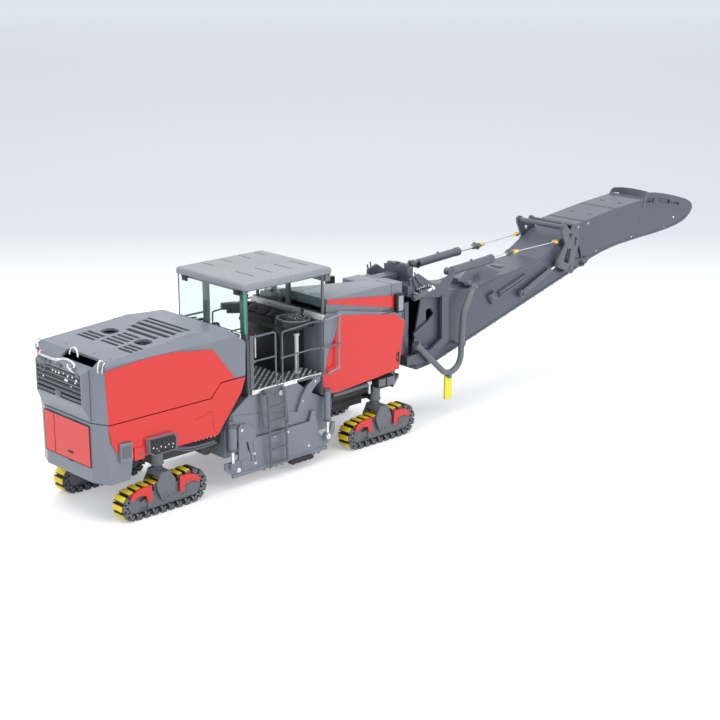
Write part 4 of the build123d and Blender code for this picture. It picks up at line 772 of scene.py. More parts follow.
def plateTrim():
    for sideName, side in sides.items():
        plateBody = "side_plate_" + sideName[0]
        face = side * 24.8
        bolts = [(at(69.4, face, 7.9), (0, side, 0), 0.85), (at(78.4, face, 13.5), (0, side, 0), 0.6),
                 (at(78.9, face, 9), (0, side, 0), 0.6), (at(71.6, face, 25.6), (0, side, 0), 0.5),
                 (at(110, face, 9.2), (0, side, 0), 0.45), (at(90, face, 18.6), (0, side, 0), 0.4),
                 (at(98, face, 18.6), (0, side, 0), 0.4), (at(119.8, side * 27.4, 12), (0, side, 0), 1)]
        repeat("plateBolts_" + sideName, hexBolt(), bolts, brightSteel, plateBody, seed=13)
        rods = bmesh.new()
        bar(rods, (65.6, side * 25.4, 12.3), (65.6, side * 25.4, 22.4), 0.84, 18)
        bar(rods, (119.8, side * 26.6, 13.6), (119.8, side * 26.6, 25.8), 0.74, 18)
        piece("plateRods_" + sideName, rods, brightSteel, plateBody)
        brackets = bmesh.new()
        faceIn, faceOut = face - side * 0.1, face + side * 0.3
        prism(brackets, [(70.6, 12.2), (73.6, 12.2), (75.8, 9.4), (75, 8), (70.6, 8)], faceIn, faceOut, "y", 0.1)
        prism(brackets, [(77.4, 19.4), (80, 19.8), (80.6, 8.4), (78.6, 8.4)], faceIn, faceOut, "y", 0.1)
        washer(brackets, (119.8, side * 25.2, 12), (119.8, side * 27.3, 12), 0.9, 1.95, 26)
        for x in (84, 87.4, 90.8, 94.2, 113.6, 116.2):
            prism(brackets, [(x - 0.7, 5.4), (x + 0.7, 5.4), (x + 0.35, 4), (x - 0.35, 4)],
                  side * 23.9, side * 24.9, "y", 0.12)
        piece("plateBrackets_" + sideName, brackets, bodyGrey, plateBody)
        foot = bmesh.new()
        low, high = sorted((side * 23.7, side * 26.2))
        prism(foot, [(98.6, 3.3), (111.2, 3.3), (112, 4), (111.2, 5.2), (98.6, 5.2), (97.8, 4.4)], low, high, "y",
              0.2)
        for x in (100.2, 103.6, 107, 110):
            slab(foot, (x - 0.6, low + 0.4, 2.9), (x + 0.6, high - 0.4, 3.5), 0.15)
        piece("skidFoot_" + sideName, foot, blackPlastic, plateBody)

        caps = bmesh.new()
        for x, y, low, high, radius in ((65.6, side * 25.4, 18, 29.6, 1.9), (119.8, side * 26.6, 19.4, 34.4, 1.4)):
            inner = 0.98 if radius > 1.5 else 0.88
            washer(caps, (x, y, low - 0.3), (x, y, low + 1.1), inner, radius + 0.22, 24)
            washer(caps, (x, y, high - 1.2), (x, y, high + 0.2), inner * 0.5, radius + 0.18, 24)
            tube(caps, [(x + radius * 0.7, y, low + 3), (x + radius + 0.9, y, low + 3.4),
                        (x + radius + 0.8, y, high - 2.4), (x + radius * 0.6, y, high - 1.8)], 0.26)
        piece("cylinderCaps_" + sideName, caps, railGrey)

    hubs = bmesh.new()
    for side in (-1, 1):
        face = side * 23.2
        turned(hubs, (95, face - side * 0.2, 12.6), (95, face + side, 12.6),
               [(0, 2.9), (0.5, 2.9), (0.55, 2.6), (0.55, 1.6), (0.7, 1.3)], 28)
    piece("drumHubs", hubs, darkSteel)
    discs = rowOf(23.2, 0.9, (104.3, 24.6)) + rowOf(23.2, 0.5, (70, 31.4), (70, 24.2), (101.8, 23.2))
    discs += rowOf(24.5, 0.55, (114.6, 38.6)) + rowOf(24.5, 0.4, (107, 31))
    repeat("housingDiscs", dome(), discs, brightSteel, seed=14)
    tips = bmesh.new()
    turned(tips, (midX, 0, 0), (midX, 0, 1), [(0, 0.5), (0.5, 0.62), (0.9, 0.4), (1.5, 0.12)], 8)
    spots = []
    for row in range(11):
        y = -19 + row * 3.8
        lead = abs(row - 5) * 17
        for index in range(6):
            angle = math.radians(lead + index * 60)
            reach = Vector((math.cos(angle + 0.11), 0, math.sin(angle + 0.11)))
            spots.append((at(95, y, 12.6) + reach * 8.4 * mm, reach, 0.9))
    repeat("drumTips", tips, spots, brightSteel, "drum", seed=15)


def deckTrim():
    settings = {"rear": 79.4, "front": 117.6, "half": 23, "stepX": 3.6, "stepY": 3}
    dots = []
    row = 0
    x = settings["rear"]
    while x < settings["front"]:
        y = -settings["half"] + (settings["stepY"] / 2 if row % 2 else 0)
        while y < settings["half"]:
            if not (x > 103 and abs(y) < 13.6):
                dots.append((at(x, y, 42), (0, 0, 1), 0.62))
            y += settings["stepY"]
        x += settings["stepX"] / 2
        row += 1
    treads = head((((-0.05, 1), (0.35, 0.85), (0.5, 0.5)), 7))
    repeat("deckTreads", treads, dots, whiteEnamel, spread=0.35, seed=16)
    edge = bmesh.new()
    for start, end in ((77.6, 83.2), (95.6, 103.4)):
        slabs(edge, (start, 24.3, 40.3), (end, 25, 42.3), 0.22)
    slabs(edge, (83.2, 24.3, 41.2), (95.6, 25, 42.3), 0.22)
    slabs(edge, (103.4, 24.3, 41.4), (117.8, 25, 42.3), 0.22)
    piece("deckEdge", edge, brightSteel)
    discs = bmesh.new()
    spindles(discs, (93.4, 25.4, 38.2), (93.4, 27, 38.2),
             [(0, 1.1), (0.4, 1.25), (0.55, 1.1), (0.6, 0.5), (0.5, 0.4)], 24)
    for x, z in ((79, 41.6), (102, 41.8), (86.8, 41.7)):
        spindles(discs, (x, 24.9, z), (x, 27, z), [(0, 0.5), (0.3, 0.5), (0.45, 0.35)], 12)
    piece("deckDiscs", discs, whiteEnamel)
    rungs = bmesh.new()
    for rung in range(5):
        z = 7 + rung * 6.6
        dx = 1.2 * (1 - rung / 5)
        for k in range(5):
            x = 85.7 + dx + k * 1.75
            slabs(rungs, (x, 26.9, z + 0.28), (x + 1.2, 27.8, z + 0.62), 0.12)
    for x in (84.4, 94):
        washers(rungs, (x, 26.9, 39), (x, 27.6, 38.2), 0.3, 0.85, 14)
    piece("ladderTreads", rungs, railGrey)


def railTrim():
    clamps = bmesh.new()
    for side in (-1, 1):
        y = side * 24.15
        for x, z in ((91.8, 42.2), (95.6, 42.2), (104.6, 42.2), (79.4, 54.8)):
            turned(clamps, (x, y, z - 0.3), (x, y, z + 1), [(0, 1), (0.35, 1), (0.55, 0.7), (1.1, 0.62), (1.2, 0.5)],
                   16)
        for x, yy, z in ((117, side * 26.8, 66.5), (117, side * 26.8, 54), (127, side * 26.8, 54.2), (95.6, y, 53.4)):
            bar(clamps, (x - 0.9, yy, z), (x + 0.9, yy, z + 0.08), 0.6, 14)
    piece("railClamps", clamps, railGrey)
    loops = bmesh.new()
    tubes(loops, [(118.6, 26.8, 66.7), (126.6, 26.8, 67.54), (127.2, 26.8, 67.3), (127.18, 26.8, 66.4),
                  (127, 26.8, 55), (126.84, 26.8, 44.2), (126.6, 26.8, 43.1), (125.6, 26.8, 42.7),
                  (120.2, 26.8, 41.65)], 0.43, 4)
    for x, z in ((127.2, 67.6), (126.8, 43)):
        spindles(loops, (x, 26.4, z), (x, 28, z), [(0, 0.6), (0.75, 0.6), (0.9, 0.42)], 14)
    piece("railLoops", loops, loopGrey)
    grips = bmesh.new()
    bars(grips, (83.4, 20.4, 55), (83.4, 20.4, 65.4), 0.42, 14)
    bars(grips, (109.6, 17.6, 42.2), (109.6, 17.6, 59.6), 0.95, 20)
    washers(grips, (109.6, 17.6, 59.4), (109.6, 17.6, 60.6), 0.5, 1.3, 20)
    washers(grips, (109.6, 17.6, 42), (109.6, 17.6, 42.9), 0.5, 1.6, 20)
    piece("silverPosts", grips, whiteEnamel)
    stays = bmesh.new()
    tubes(stays, [(79, 22, 54.6), (81.6, 21, 54.8), (83.4, 20.4, 55)], 0.34)
    tubes(stays, [(79, 22, 65.2), (81.4, 21, 65.6), (83.4, 20.4, 65.4)], 0.34)
    for y in (12, 22.4):
        tube(stays, [(82, y, 55.4), (82.2, y, 60.4), (83.4, y, 63), (88.4, y, 63.6), (90, y, 62),
                     (89.6, y, 55)], 0.62, 4)
    piece("armLoops", stays, gripRubber)


def seatTrim():
    base = bmesh.new()
    turned(base, (86.2, 17.2, 42), (86.2, 17.2, 60),
           [(0, 2.6), (0.5, 2.6), (0.8, 1.3), (3, 1.1), (7.2, 1.1), (7.4, 1.9), (7.9, 1.9)], 24)
    piece("seatBase", base, brightSteel)
    form = bmesh.new()
    slab(form, (81.4, 13, 49.8), (90.8, 21.4, 52.3), 0.95)
    lean = Matrix.Translation(at(80.6, 17.2, 51.6)) @ Matrix.Rotation(math.radians(-6), 4, "Y")
    slab(form, (-1.1, -4, 0), (0.9, 4, 10.2), 0.85, lean)
    for side in (-1, 1):
        tube(form, [(82.4, 17.2 + side * 4.2, 52), (86.2, 17.2 + side * 4.4, 52.7), (90.2, 17.2 + side * 3.9, 51.9)],
             0.5)
        tube(form, [(80.9, 17.2 + side * 3.9, 52.6), (80.2, 17.2 + side * 4, 57), (79.7, 17.2 + side * 3.6, 61)], 0.5)
    cushion = piece("seatCushion", form, gripRubber, smooth=60)
    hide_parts("seat")


def consoleTrim():
    # The desk falls away to the front, so that the bright beam shows above it.
    desk = bmesh.new()
    prism(desk, [(104.4, 41.9), (104.4, 59), (101, 63), (102.4, 66), (108.6, 69.2), (111, 68.8), (117.6, 65.6),
                 (118.5, 64.4), (118.5, 41.9)], -12.4, 12.4, "y", 0.6)
    slab(desk, (115.4, -20, 62.4), (118.4, 20, 65.2), 0.7)
    plates(desk, [(105.4, 44), (105.4, 58), (116.8, 58), (116.8, 44)], 12.3, 12.75, 0.25)
    consoleBody = piece("consoleBody", desk, softBlack)
    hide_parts("console")
    top = bmesh.new()
    prism(top, [(101.6, 64.9), (108.9, 69.2), (108.5, 70), (101, 65.7)], -10.8, 10.8, "y", 0.25)
    for low, high in (((103.4, -9.6), (107.4, -4.8)), ((103.4, -3.4), (107.4, 3.2)), ((103.4, 4.6), (107.4, 9.6))):
        z = 66 + (low[0] - 102.4) * 0.54
        tilt = Matrix.Translation(at(low[0], (low[1] + high[1]) / 2, z + 0.75))
        tilt = tilt @ Matrix.Rotation(math.radians(-30), 4, "Y")
        slab(top, (0, (low[1] - high[1]) / 2, 0), (high[0] - low[0], (high[1] - low[1]) / 2, 0.45), 0.15, tilt)
    piece("consoleTop", top, softBlack)
    knobs = []
    lean = Vector((-0.5, 0, 0.86))
    for k in range(9):
        for row in range(2):
            x = 104.2 + row * 2
            knobs.append((at(x, -8.8 + k * 2.2, 67.2 + (x - 103.4) * 0.56 + 0.25), lean, 0.34))
    repeat("consoleKnobs", dome(), knobs, whiteEnamel, spread=0.5, seed=17)
    for sideName, side in sides.items():
        outline = [(-8.8, 0), (-8, 2.6), (-5, 4.4), (0, 5), (5.4, 4.6), (8.6, 2.6), (9.4, 0), (8.6, -2.6),
                   (5.4, -4.6), (0, -5), (-5, -4.4), (-8, -2.6)]
        normal = Vector((0.12, side * 0.16, 1)).normalized()
        along = Vector((1, 0, -0.12)).normalized()
        aside = normal.cross(along)
        origin = at(106, side * 18.6, 65.6)
        frameMatrix = Matrix((along, aside, normal)).transposed().to_4x4()
        frameMatrix.translation = origin
        rim = bmesh.new()
        border(rim, outline, shrunk(outline, Vector((0, 0)), 0.87), 2.4, 3.1, "z", 0.12, frameMatrix)
        piece("podRim_" + sideName, rim, railGrey)
        pad = bmesh.new()
        slab(pad, (-5.4, -2.6, 2.4), (-0.6, 2.6, 2.95), 0.2, frameMatrix)
        for spot in ((2.2, -2.4), (2.2, 0), (2.2, 2.4), (5.2, -2), (5.2, 0.6)):
            slab(pad, (spot[0] - 0.7, spot[1] - 0.8, 2.4), (spot[0] + 0.9, spot[1] + 0.8, 2.9), 0.15, frameMatrix)
        piece("podPad_" + sideName, pad, blackPlastic)
        stick = bmesh.new()
        turned(stick, frameVector(frameMatrix, (6.8, 2, 2.2)), frameVector(frameMatrix, (6.8, 2, 8)),
               [(0, 0.9), (0.6, 0.8), (0.9, 0.4), (2.4, 0.38), (2.7, 0.8), (3.6, 0.95), (4.2, 0.6)], 16)
        piece("podStick_" + sideName, stick, gripRubber)
        buttons = []
        for k in range(26):
            angle = k * 2.39996
            reach = 0.75 * math.sqrt(k)
            px, py = 3 + reach * math.cos(angle) * 1.25, reach * math.sin(angle)
            if abs(py) < 3.6 and -1 < px < 7.6:
                buttons.append((frameMatrix @ (Vector((px, py, 2.88)) * mm), normal, 0.36))
        repeat("podButtons_" + sideName, dome(), buttons, whiteEnamel, spread=0.45, seed=18)


def frameVector(matrix, spot):
    # Machine millimetres of a spot given in a turned frame.
    place = matrix @ (Vector(spot) * mm)
    return Vector((place.x / mm + midX, place.y / mm, place.z / mm))


def canopyTrim():
    beam = bmesh.new()
    slab(beam, (118.7, -24.8, 66.7), (120.7, 24.8, 68.3), 0.25)
    slab(beam, (118.9, -24.5, 65.9), (119.6, 24.5, 66.7), 0.15)
    piece("beamCover", beam, whiteEnamel)
    ends = rowOf(24.45, 0.75, (120.8, 67.2))
    for y in (-20, -12, -4, 4, 12, 20):
        ends.append((at(118.7, y, 67.5), (-1, 0, 0), 0.34))
    repeat("beamBolts", hexBolt(), ends, brightSteel, seed=19)

    rim = bmesh.new()
    for low, high in ((-22, -0.5), (1.9, 22)):
        for y in (low, high):
            slab(rim, (120.66, y - 0.3, 68.3), (121.54, y + 0.3, 84.9), 0.08)
        for z in (68.3, 84.9):
            slab(rim, (120.66, low, z - 0.25), (121.54, high, z + 0.25), 0.08)
    slab(rim, (76.15, 23.42, 67.4), (76.85, 23.7, 86.4), 0.05)
    slab(rim, (76.15, -22.2, 67.25), (76.85, 23.6, 67.5), 0.05)
    piece("paneRims", rim, paneRim)
    edge = bmesh.new()
    slab(edge, (76.05, -22.5, 67.3), (77, -22.05, 86.4), 0.08)
    piece("paneEdge", edge, paneEdge)

    gutter = bmesh.new()
    settings = {"low": 86.3, "high": 86.95}
    slabs(gutter, (76.4, 23, settings["low"]), (124.4, 24, settings["high"]), 0.1)
    slab(gutter, (75.7, -23.4, settings["low"]), (76.9, 23.4, settings["high"]), 0.1)
    slab(gutter, (123.8, -15, settings["low"]), (124.8, 23.4, settings["high"]), 0.1)
    piece("roofSeal", gutter, postGrey)
    lamps = bmesh.new()
    for x, y in ((121.8, 19), (121.8, 10)):
        slab(lamps, (x, y - 1.8, 83.6), (x + 1.6, y + 1.8, 86.2), 0.35)
    for y in (-18, 18):
        slab(lamps, (75.3, y - 1.8, 84), (76, y + 1.8, 86.2), 0.25)
    piece("roofLamps", lamps, blackPlastic)
    screws = []
    for x in (80, 93.8, 104.8, 114.8):
        for y in (-21.6, -8, 8, 21.6):
            screws.append((at(x, y, 89.36), (0, 0, 1), 0.3))
    repeat("roofScrews", dome(), screws, whiteEnamel, spread=0.2, seed=20)
    bolts = []
    for y in (-20, 5.5):
        for z in (43.6, 46, 83.6, 85.6):
            for offset in (-0.9, 0.9):
                bolts.append((at(78.6, y + offset, z), (1, 0, 0), 0.28))
    repeat("postBolts", hexBolt(), bolts, darkSteel, seed=21)

    lightBase = bmesh.new()
    turned(lightBase, (123.6, 13.4, 72.1), (123.6, 13.4, 80), [(0, 2), (0.4, 2), (0.6, 1.4), (0.9, 1.3)], 20)
    slab(lightBase, (124.4, 9, 72.1), (127.6, 11.2, 73), 0.3)
    piece("lampBase", lightBase, blackPlastic)


plateTrim()
deckTrim()
railTrim()
seatTrim()
consoleTrim()
canopyTrim()
print("platform trimmed")


# Front box with its doors, lamps and seams

def frontBox():
    # The raised half of the lid lies on the right; the rest slopes down towards the conveyor.
    outline = [(119, 31), (128.8, 30.4), (154.4, 32.2), (167.4, 33.4), (171, 56.4), (165.4, 61.2), (129.4, 68.4),
               (125, 66.2), (119, 66.2)]
    box = bmesh.new()
    plates(box, outline, 19.9, 24.4, 0.3)
    post = [(119.1, 42.4), (119.3, 66.4), (120.4, 68.8), (127.6, 67.6), (127.2, 62), (125.8, 57.6), (121.2, 49.6),
            (120, 42.4)]
    plates(box, post, 24.3, 25.4, 0.25)
    prism(box, [(119, 64), (119, 66.2), (125, 66.2), (129.4, 68.4), (151, 64.1), (171, 64), (171, 63), (140, 63)],
          -20, 20, "y", 0)
    slab(box, (119, -20.2, 31), (121.2, 20.2, 65), 0.2)
    prism(box, [(122.9, -22.6), (171, -22.6), (171, -11.6), (166, -11), (122.9, 7)], 62, 74.7, "z", 0.35)
    prism(box, [(122.9, 62), (122.9, 70.8), (150, 68.2), (171, 65.4), (171, 58)], -22.5, 22.6, "y", 0.35)
    slab(box, (160, -6.6, 60), (171, 6.6, 73.2), 0.4)
    prism(box, [(122.4, 7.6), (122.4, 19.4), (126.8, 19.4), (129, 16), (129, 7.6)], 66, 72.3, "z", 0.5)
    cover = piece("frontBox", box, bodyGrey)
    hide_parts("front_cover")

    doors = bmesh.new()
    outline = [(119.3, 31.4), (128.8, 30.8), (154.4, 32.6), (167, 33.8), (170.6, 56), (164.4, 60.6), (128.2, 66.6),
               (127.4, 61.6), (126.4, 57.4), (121.8, 49.4), (120.4, 41.8), (119.3, 41.8)]
    crease = {"upper": (128.9, 53.7), "lower": (146.9, 29.2), "lean": 0.024, "deepest": 0.5}
    plates(doors, outline, 24.4, 25, 0)
    upper, lower = Vector(crease["upper"]), Vector(crease["lower"])
    along = (lower - upper).normalized()
    normal = Vector((along.y, -along.x))
    bmesh.ops.bisect_plane(doors, geom=list(doors.verts) + list(doors.edges) + list(doors.faces),
                           plane_co=at(upper.x, 0, upper.y), plane_no=(normal.x, 0, normal.y), dist=1e-7)
    for vert in doors.verts:
        if abs(vert.co.y) > 24.9 * mm:
            spot = Vector((vert.co.x / mm + midX, vert.co.z / mm)) - upper
            beyond = max(0, spot.dot(normal))
            vert.co.y -= math.copysign(min(crease["deepest"], beyond * crease["lean"]) * mm, vert.co.y)
    strip = [(123.2, 72.6), (123.2, 74.3), (165, 69.1), (165, 63.4)]
    prism(doors, strip, -23.2, -22.5, "y", 0.08)
    prism(doors, [(123.2, 68.4), (123.2, 70.1), (165, 65.8), (165, 62.4)], 22.5, 23.2, "y", 0.08)
    panels = piece("frontDoors", doors, redPaint, smooth=0.4)
    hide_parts("front_panels")

    seams = bmesh.new()
    slab(seams, (163.9, -22.64, 62.6), (164.1, -22.5, 74.4), 0)
    slab(seams, (163.9, -22.6, 74.66), (164.1, -12.2, 74.74), 0)
    slab(seams, (123, -22.64, 62.5), (171, -22.4, 62.75), 0)
    slabs(seams, (170.9, 24.18, 57), (171.1, 24.42, 62), 0.03)
    slabs(seams, (146, 24.37, 61.8), (164.6, 24.53, 62.1), 0)
    piece("boxSeams", seams, gripRubber)

    latch = bmesh.new()
    plates(latch, [(165.6, 37.4), (166.6, 36.9), (167, 37.2), (167, 42), (166.4, 42.3), (165.4, 41.6), (165, 39.6)],
           24.9, 25.18, 0.1)
    slabs(latch, (165.7, 25, 38.2), (166.5, 25.32, 41.2), 0.12)
    piece("doorLatch", latch, blackPlastic)
    latchRed = bmesh.new()
    slabs(latchRed, (165.2, 25.05, 38.9), (165.9, 25.3, 40.5), 0.1)
    piece("doorPull", latchRed, redPaint)

    lens = bmesh.new()
    slabs(lens, (166.4, 24.9, 61.8), (169.3, 25.2, 68.9), 0.25)
    for k in range(6):
        slabs(lens, (166.6, 25.15, 62.3 + k * 1.1), (169.1, 25.32, 62.95 + k * 1.1), 0.1)
    slabs(lens, (169.9, 22.9, 61.8), (170.15, 24.6, 68.9), 0.1)
    piece("lampLens", lens, paleLens)

    bolts = rowOf(25.4, 0.3, (124.2, 64), (124.8, 61.6))
    bolts += rowOf(25.4, 0.34, (119.9, 43.6), (121, 66.2))
    bolts += rowOf(24.98, 0.24, (129.6, 32), (153.6, 33.6), (164, 34.6), (130.6, 64.6), (162, 59.6))
    repeat("boxBolts", dome(), bolts, darkSteel, seed=23)
    knob = bmesh.new()
    turned(knob, (123.6, 13.4, 72.2), (123.6, 13.4, 80),
           [(0, 1.1), (0.3, 1.1), (0.5, 0.6), (1, 0.6), (1.2, 1.3), (1.8, 1.55), (2.4, 1.3), (2.8, 0.7)], 20)
    piece("topKnob", knob, hoseGrey)

    under = bmesh.new()
    tubes(under, [(125, 21.6, 27.4), (132, 22.2, 27.8), (142, 21.6, 27), (151, 21.8, 26.6), (152.6, 21.6, 25.2)],
          0.75)
    tubes(under, [(126, 20.8, 23.4), (134, 21, 22.6), (142, 20.4, 23.2), (149.6, 20.6, 22.4)], 0.5)
    tubes(under, [(126, 22.6, 21.4), (131, 21.6, 20.4), (140, 19.6, 20.6), (147, 18.6, 21.6)], 0.45)
    piece("underHoses", under, gripRubber)
    rods = bmesh.new()
    plates(rods, [(148.4, 30.4), (151.4, 30.4), (151.2, 29.2), (150.4, 28.8), (150.4, 24.6), (149.4, 24.6),
                  (149.4, 28.8), (148.4, 29.2)], 22, 22.9, 0.15)
    piece("underBrackets", rods, whiteEnamel)
    pipes = bmesh.new()
    bars(pipes, (126.4, 22.6, 28.8), (148.6, 22.6, 29.2), 1.1, 20)
    piece("underPipes", pipes, railGrey)
    boxes = bmesh.new()
    for low, high in (((153.8, 24.7, 27.4), (158, 25.2, 30.8)), ((159, 24.7, 27), (164, 25.3, 31))):
        slabs(boxes, (low[0], low[1], low[2]), (high[0], high[1], high[2]), 0.15)
    piece("columnBoxes", boxes, plateGrey)


frontBox()
print("front box trimmed")


# Slewing frame, discharge conveyor and its cylinders

def slewTrim():
    pins = both([(213.6, 15, 70.4, 0.62), (196, 15, 32, 0.95), (188, 15, 70.4, 0.42), (190.2, 15, 66.2, 0.42),
                 (203, 15, 64, 0.42), (208.4, 15, 64, 0.42), (186.2, 15, 31.8, 0.4), (192, 15, 32, 0.36)])
    for z in (42, 58):
        pins += rowOf(15, 0.3, (208.6, z))
    repeat("slewBolts", hexBolt(), pins, darkSteel, "slew", seed=24)
    ram = bmesh.new()
    bars(ram, (184.6, 16.4, 63), (194, 16.4, 65), 1.5, 20, 0.3)
    washers(ram, (186.2, 16.4, 63.34), (187.2, 16.4, 63.55), 1.3, 1.75, 20)
    slabs(ram, (188.6, 15.3, 65), (190.2, 17.5, 66.6), 0.2)
    slabs(ram, (193.6, 16.4, 63.8), (199, 15, 66.2), 0.3)
    tubes(ram, [(184.9, 15.4, 74.2), (186, 15.9, 71), (187.2, 16, 68), (189.2, 15.9, 66.3)], 0.42)
    tubes(ram, [(186.6, 15.2, 75.4), (187.4, 15.8, 72.4), (190, 15.8, 69.6), (193.4, 15.6, 67)], 0.38)
    for low, high in (((189.4, -6.6, 75.4), (191.6, -1.8, 77.4)), ((192.8, -5.6, 75.4), (193, 4.8, 76.8)),
                      ((189.6, 1.2, 75.4), (191.8, 6.4, 77))):
        slab(ram, low, high, 0.35)
    piece("slewRams", ram, railGrey, "slew")
    shine = bmesh.new()
    bars(shine, (193.8, 16.4, 64.95), (197.4, 16.4, 65.7), 0.75, 16)
    spindles(shine, (197, 16.4, 65.6), (199, 16.4, 66.1), [(0, 0.6), (0.3, 1.15), (1.4, 1.25), (1.9, 0.8)], 18)
    for x, z in ((188, 67), (190.4, 67.2), (192.6, 67.4), (186.4, 64.9), (195.8, 67.2)):
        spindles(shine, (x, 15.2, z), (x + 0.4, 17.2, z + 0.5), [(0, 0.6), (0.8, 0.6), (1, 0.42), (1.8, 0.4)], 12)
    piece("slewFittings", shine, brightSteel, "slew")


def conveyorTrim():
    boltRise = 0.27274  # of the lower row of bolts, for each millimetre forward
    strips = bmesh.new()
    bolts = []
    plates(strips, [(206, 26.95), (313.6, 56.4), (313.6, 57.4), (206, 27.95)], 11.9, 12.42, 0.1)
    plates(strips, [(234, 59), (282.6, 65.2), (292, 69.8), (292, 69.1), (283, 64.4), (234, 58.3)], 11.9, 12.2, 0.06)
    plates(strips, [(242.6, 53.9), (245.9, 55), (248.4, 51.6), (245.3, 50.3)], 13.5, 13.9, 0.15)
    bars(strips, (244.6, 13.7, 52.6), (244.6, 14.3, 52.6), 0.8, 6)
    bars(strips, (247, 13.7, 53.4), (247, 14.2, 53.4), 0.55, 6)
    plates(strips, [(250.8, 54.2), (270.4, 60), (271, 59.2), (251.2, 53.4)], 12.7, 13.25, 0.12)
    plates(strips, [(251.4, 52.6), (272.4, 58.8), (272.8, 58.2), (251.6, 52)], 12.7, 13.25, 0.12)
    for k in range(14):
        x = 212 + k * 7.4
        bolts += rowOf(12.4, 0.26, (x, 28.3 + (x - 212) * boltRise))
    bolts += rowOf(12.85, 0.3, (252.4, 53.2), (258, 55), (264, 56.8), (270.6, 58.8))
    bolts += rowOf(12.8, 0.3, (196, 35.8))
    for k in range(5):
        angle = k * 2 * math.pi / 5 + 0.6
        bolts += rowOf(12.8, 0.32, (196 + 3.9 * math.cos(angle), 32 + 3.9 * math.sin(angle)))
    piece("conveyorStrips", strips, railGrey, "discharge")
    repeat("conveyorBolts", hexBolt(), bolts, darkSteel, "discharge", seed=25)

    rollers = bmesh.new()
    for k in range(9):
        x = 222 + k * 10.4
        z = 26.2 + (x - 204) * 0.2738
        bar(rollers, (x, -8, z), (x, 8, z), 0.6, 14)
    piece("beltRollers", rollers, darkSteel, "discharge")
    lids = bmesh.new()
    for k in range(7):
        x = 238 + k * 6.2
        z = 60.2 + (x - 238) * 0.1255
        slab(lids, (x, -11.6, z - 0.3), (x + 0.5, 11.6, z + 0.22), 0.12)
    slab(lids, (262, -3.2, 62.6), (270, 3.2, 63.9), 0.3)
    piece("lidStraps", lids, deepGrey, "discharge")

    collars = bmesh.new()
    washer(collars, (227, -16.45, 61.2), (227.7, -16.4, 63), 1.3, 2.1, 24)
    washer(collars, (186, -17.2, 40.4), (188, -17.2, 38.5), 0.9, 1.95, 24)
    washer(collars, (218.9, -17.2, 33.2), (218.86, -17.2, 34.6), 1.4, 1.85, 24)
    slab(collars, (217.2, -17.2, 33.4), (219, -12, 34.4), 0.2)
    slab(collars, (208, -18.9, 18.6), (210.2, -15.6, 20.6), 0.35)
    turned(collars, (224.9, -12.6, 63.4), (225.3, -16.4, 63.9), [(0, 0.5), (0.4, 1.3), (3, 1.3), (3.6, 1)], 20)
    piece("pipeCollars", collars, hoseGrey, "discharge")
    rim = bmesh.new()
    base = [(227.6, -15.9), (231.2, -17.6), (255.6, -8.2)]
    for start, end in zip(base, base[1:]):
        tube(rim, [(start[0], start[1], 63), ((start[0] + end[0]) / 2, (start[1] + end[1]) / 2, 63),
                   (end[0], end[1], 63)], 0.3)
    piece("intakeRim", rim, deepGrey, "discharge")

    bracketBolts, dark = [], []
    bracketBolts += both([(304.4, 16.1, 58.4, 0.72), (294.4, 16.1, 62.2, 0.6), (297.2, 16.1, 81.4, 0.72),
                          (308, 16.1, 72.4, 0.5)])
    dark += rowOf(15.6, 0.35, (303, 80.6), (306.6, 79.6), (296.6, 73.8))
    dark += rowOf(14, 0.75, (316.4, 58.8))
    repeat("bracketBolts", hexBolt(), bracketBolts, darkSteel, "discharge", seed=26)
    repeat("bracketScrews", hexBolt(), dark, blackPlastic, "discharge", seed=27)
    pads = bmesh.new()
    for x, z, radius in ((297.4, 81.4, 1.75), (304.6, 57.6, 1.9), (294.2, 61.9, 1.5)):
        washers(pads, (x, 15.2, z), (x, 15.95, z), radius * 0.55, radius, 22)
    bar(pads, (300.2, -14.6, 79.6), (300.2, 14.6, 79.6), 0.5, 14)
    piece("bracketPads", pads, railGrey, "discharge")


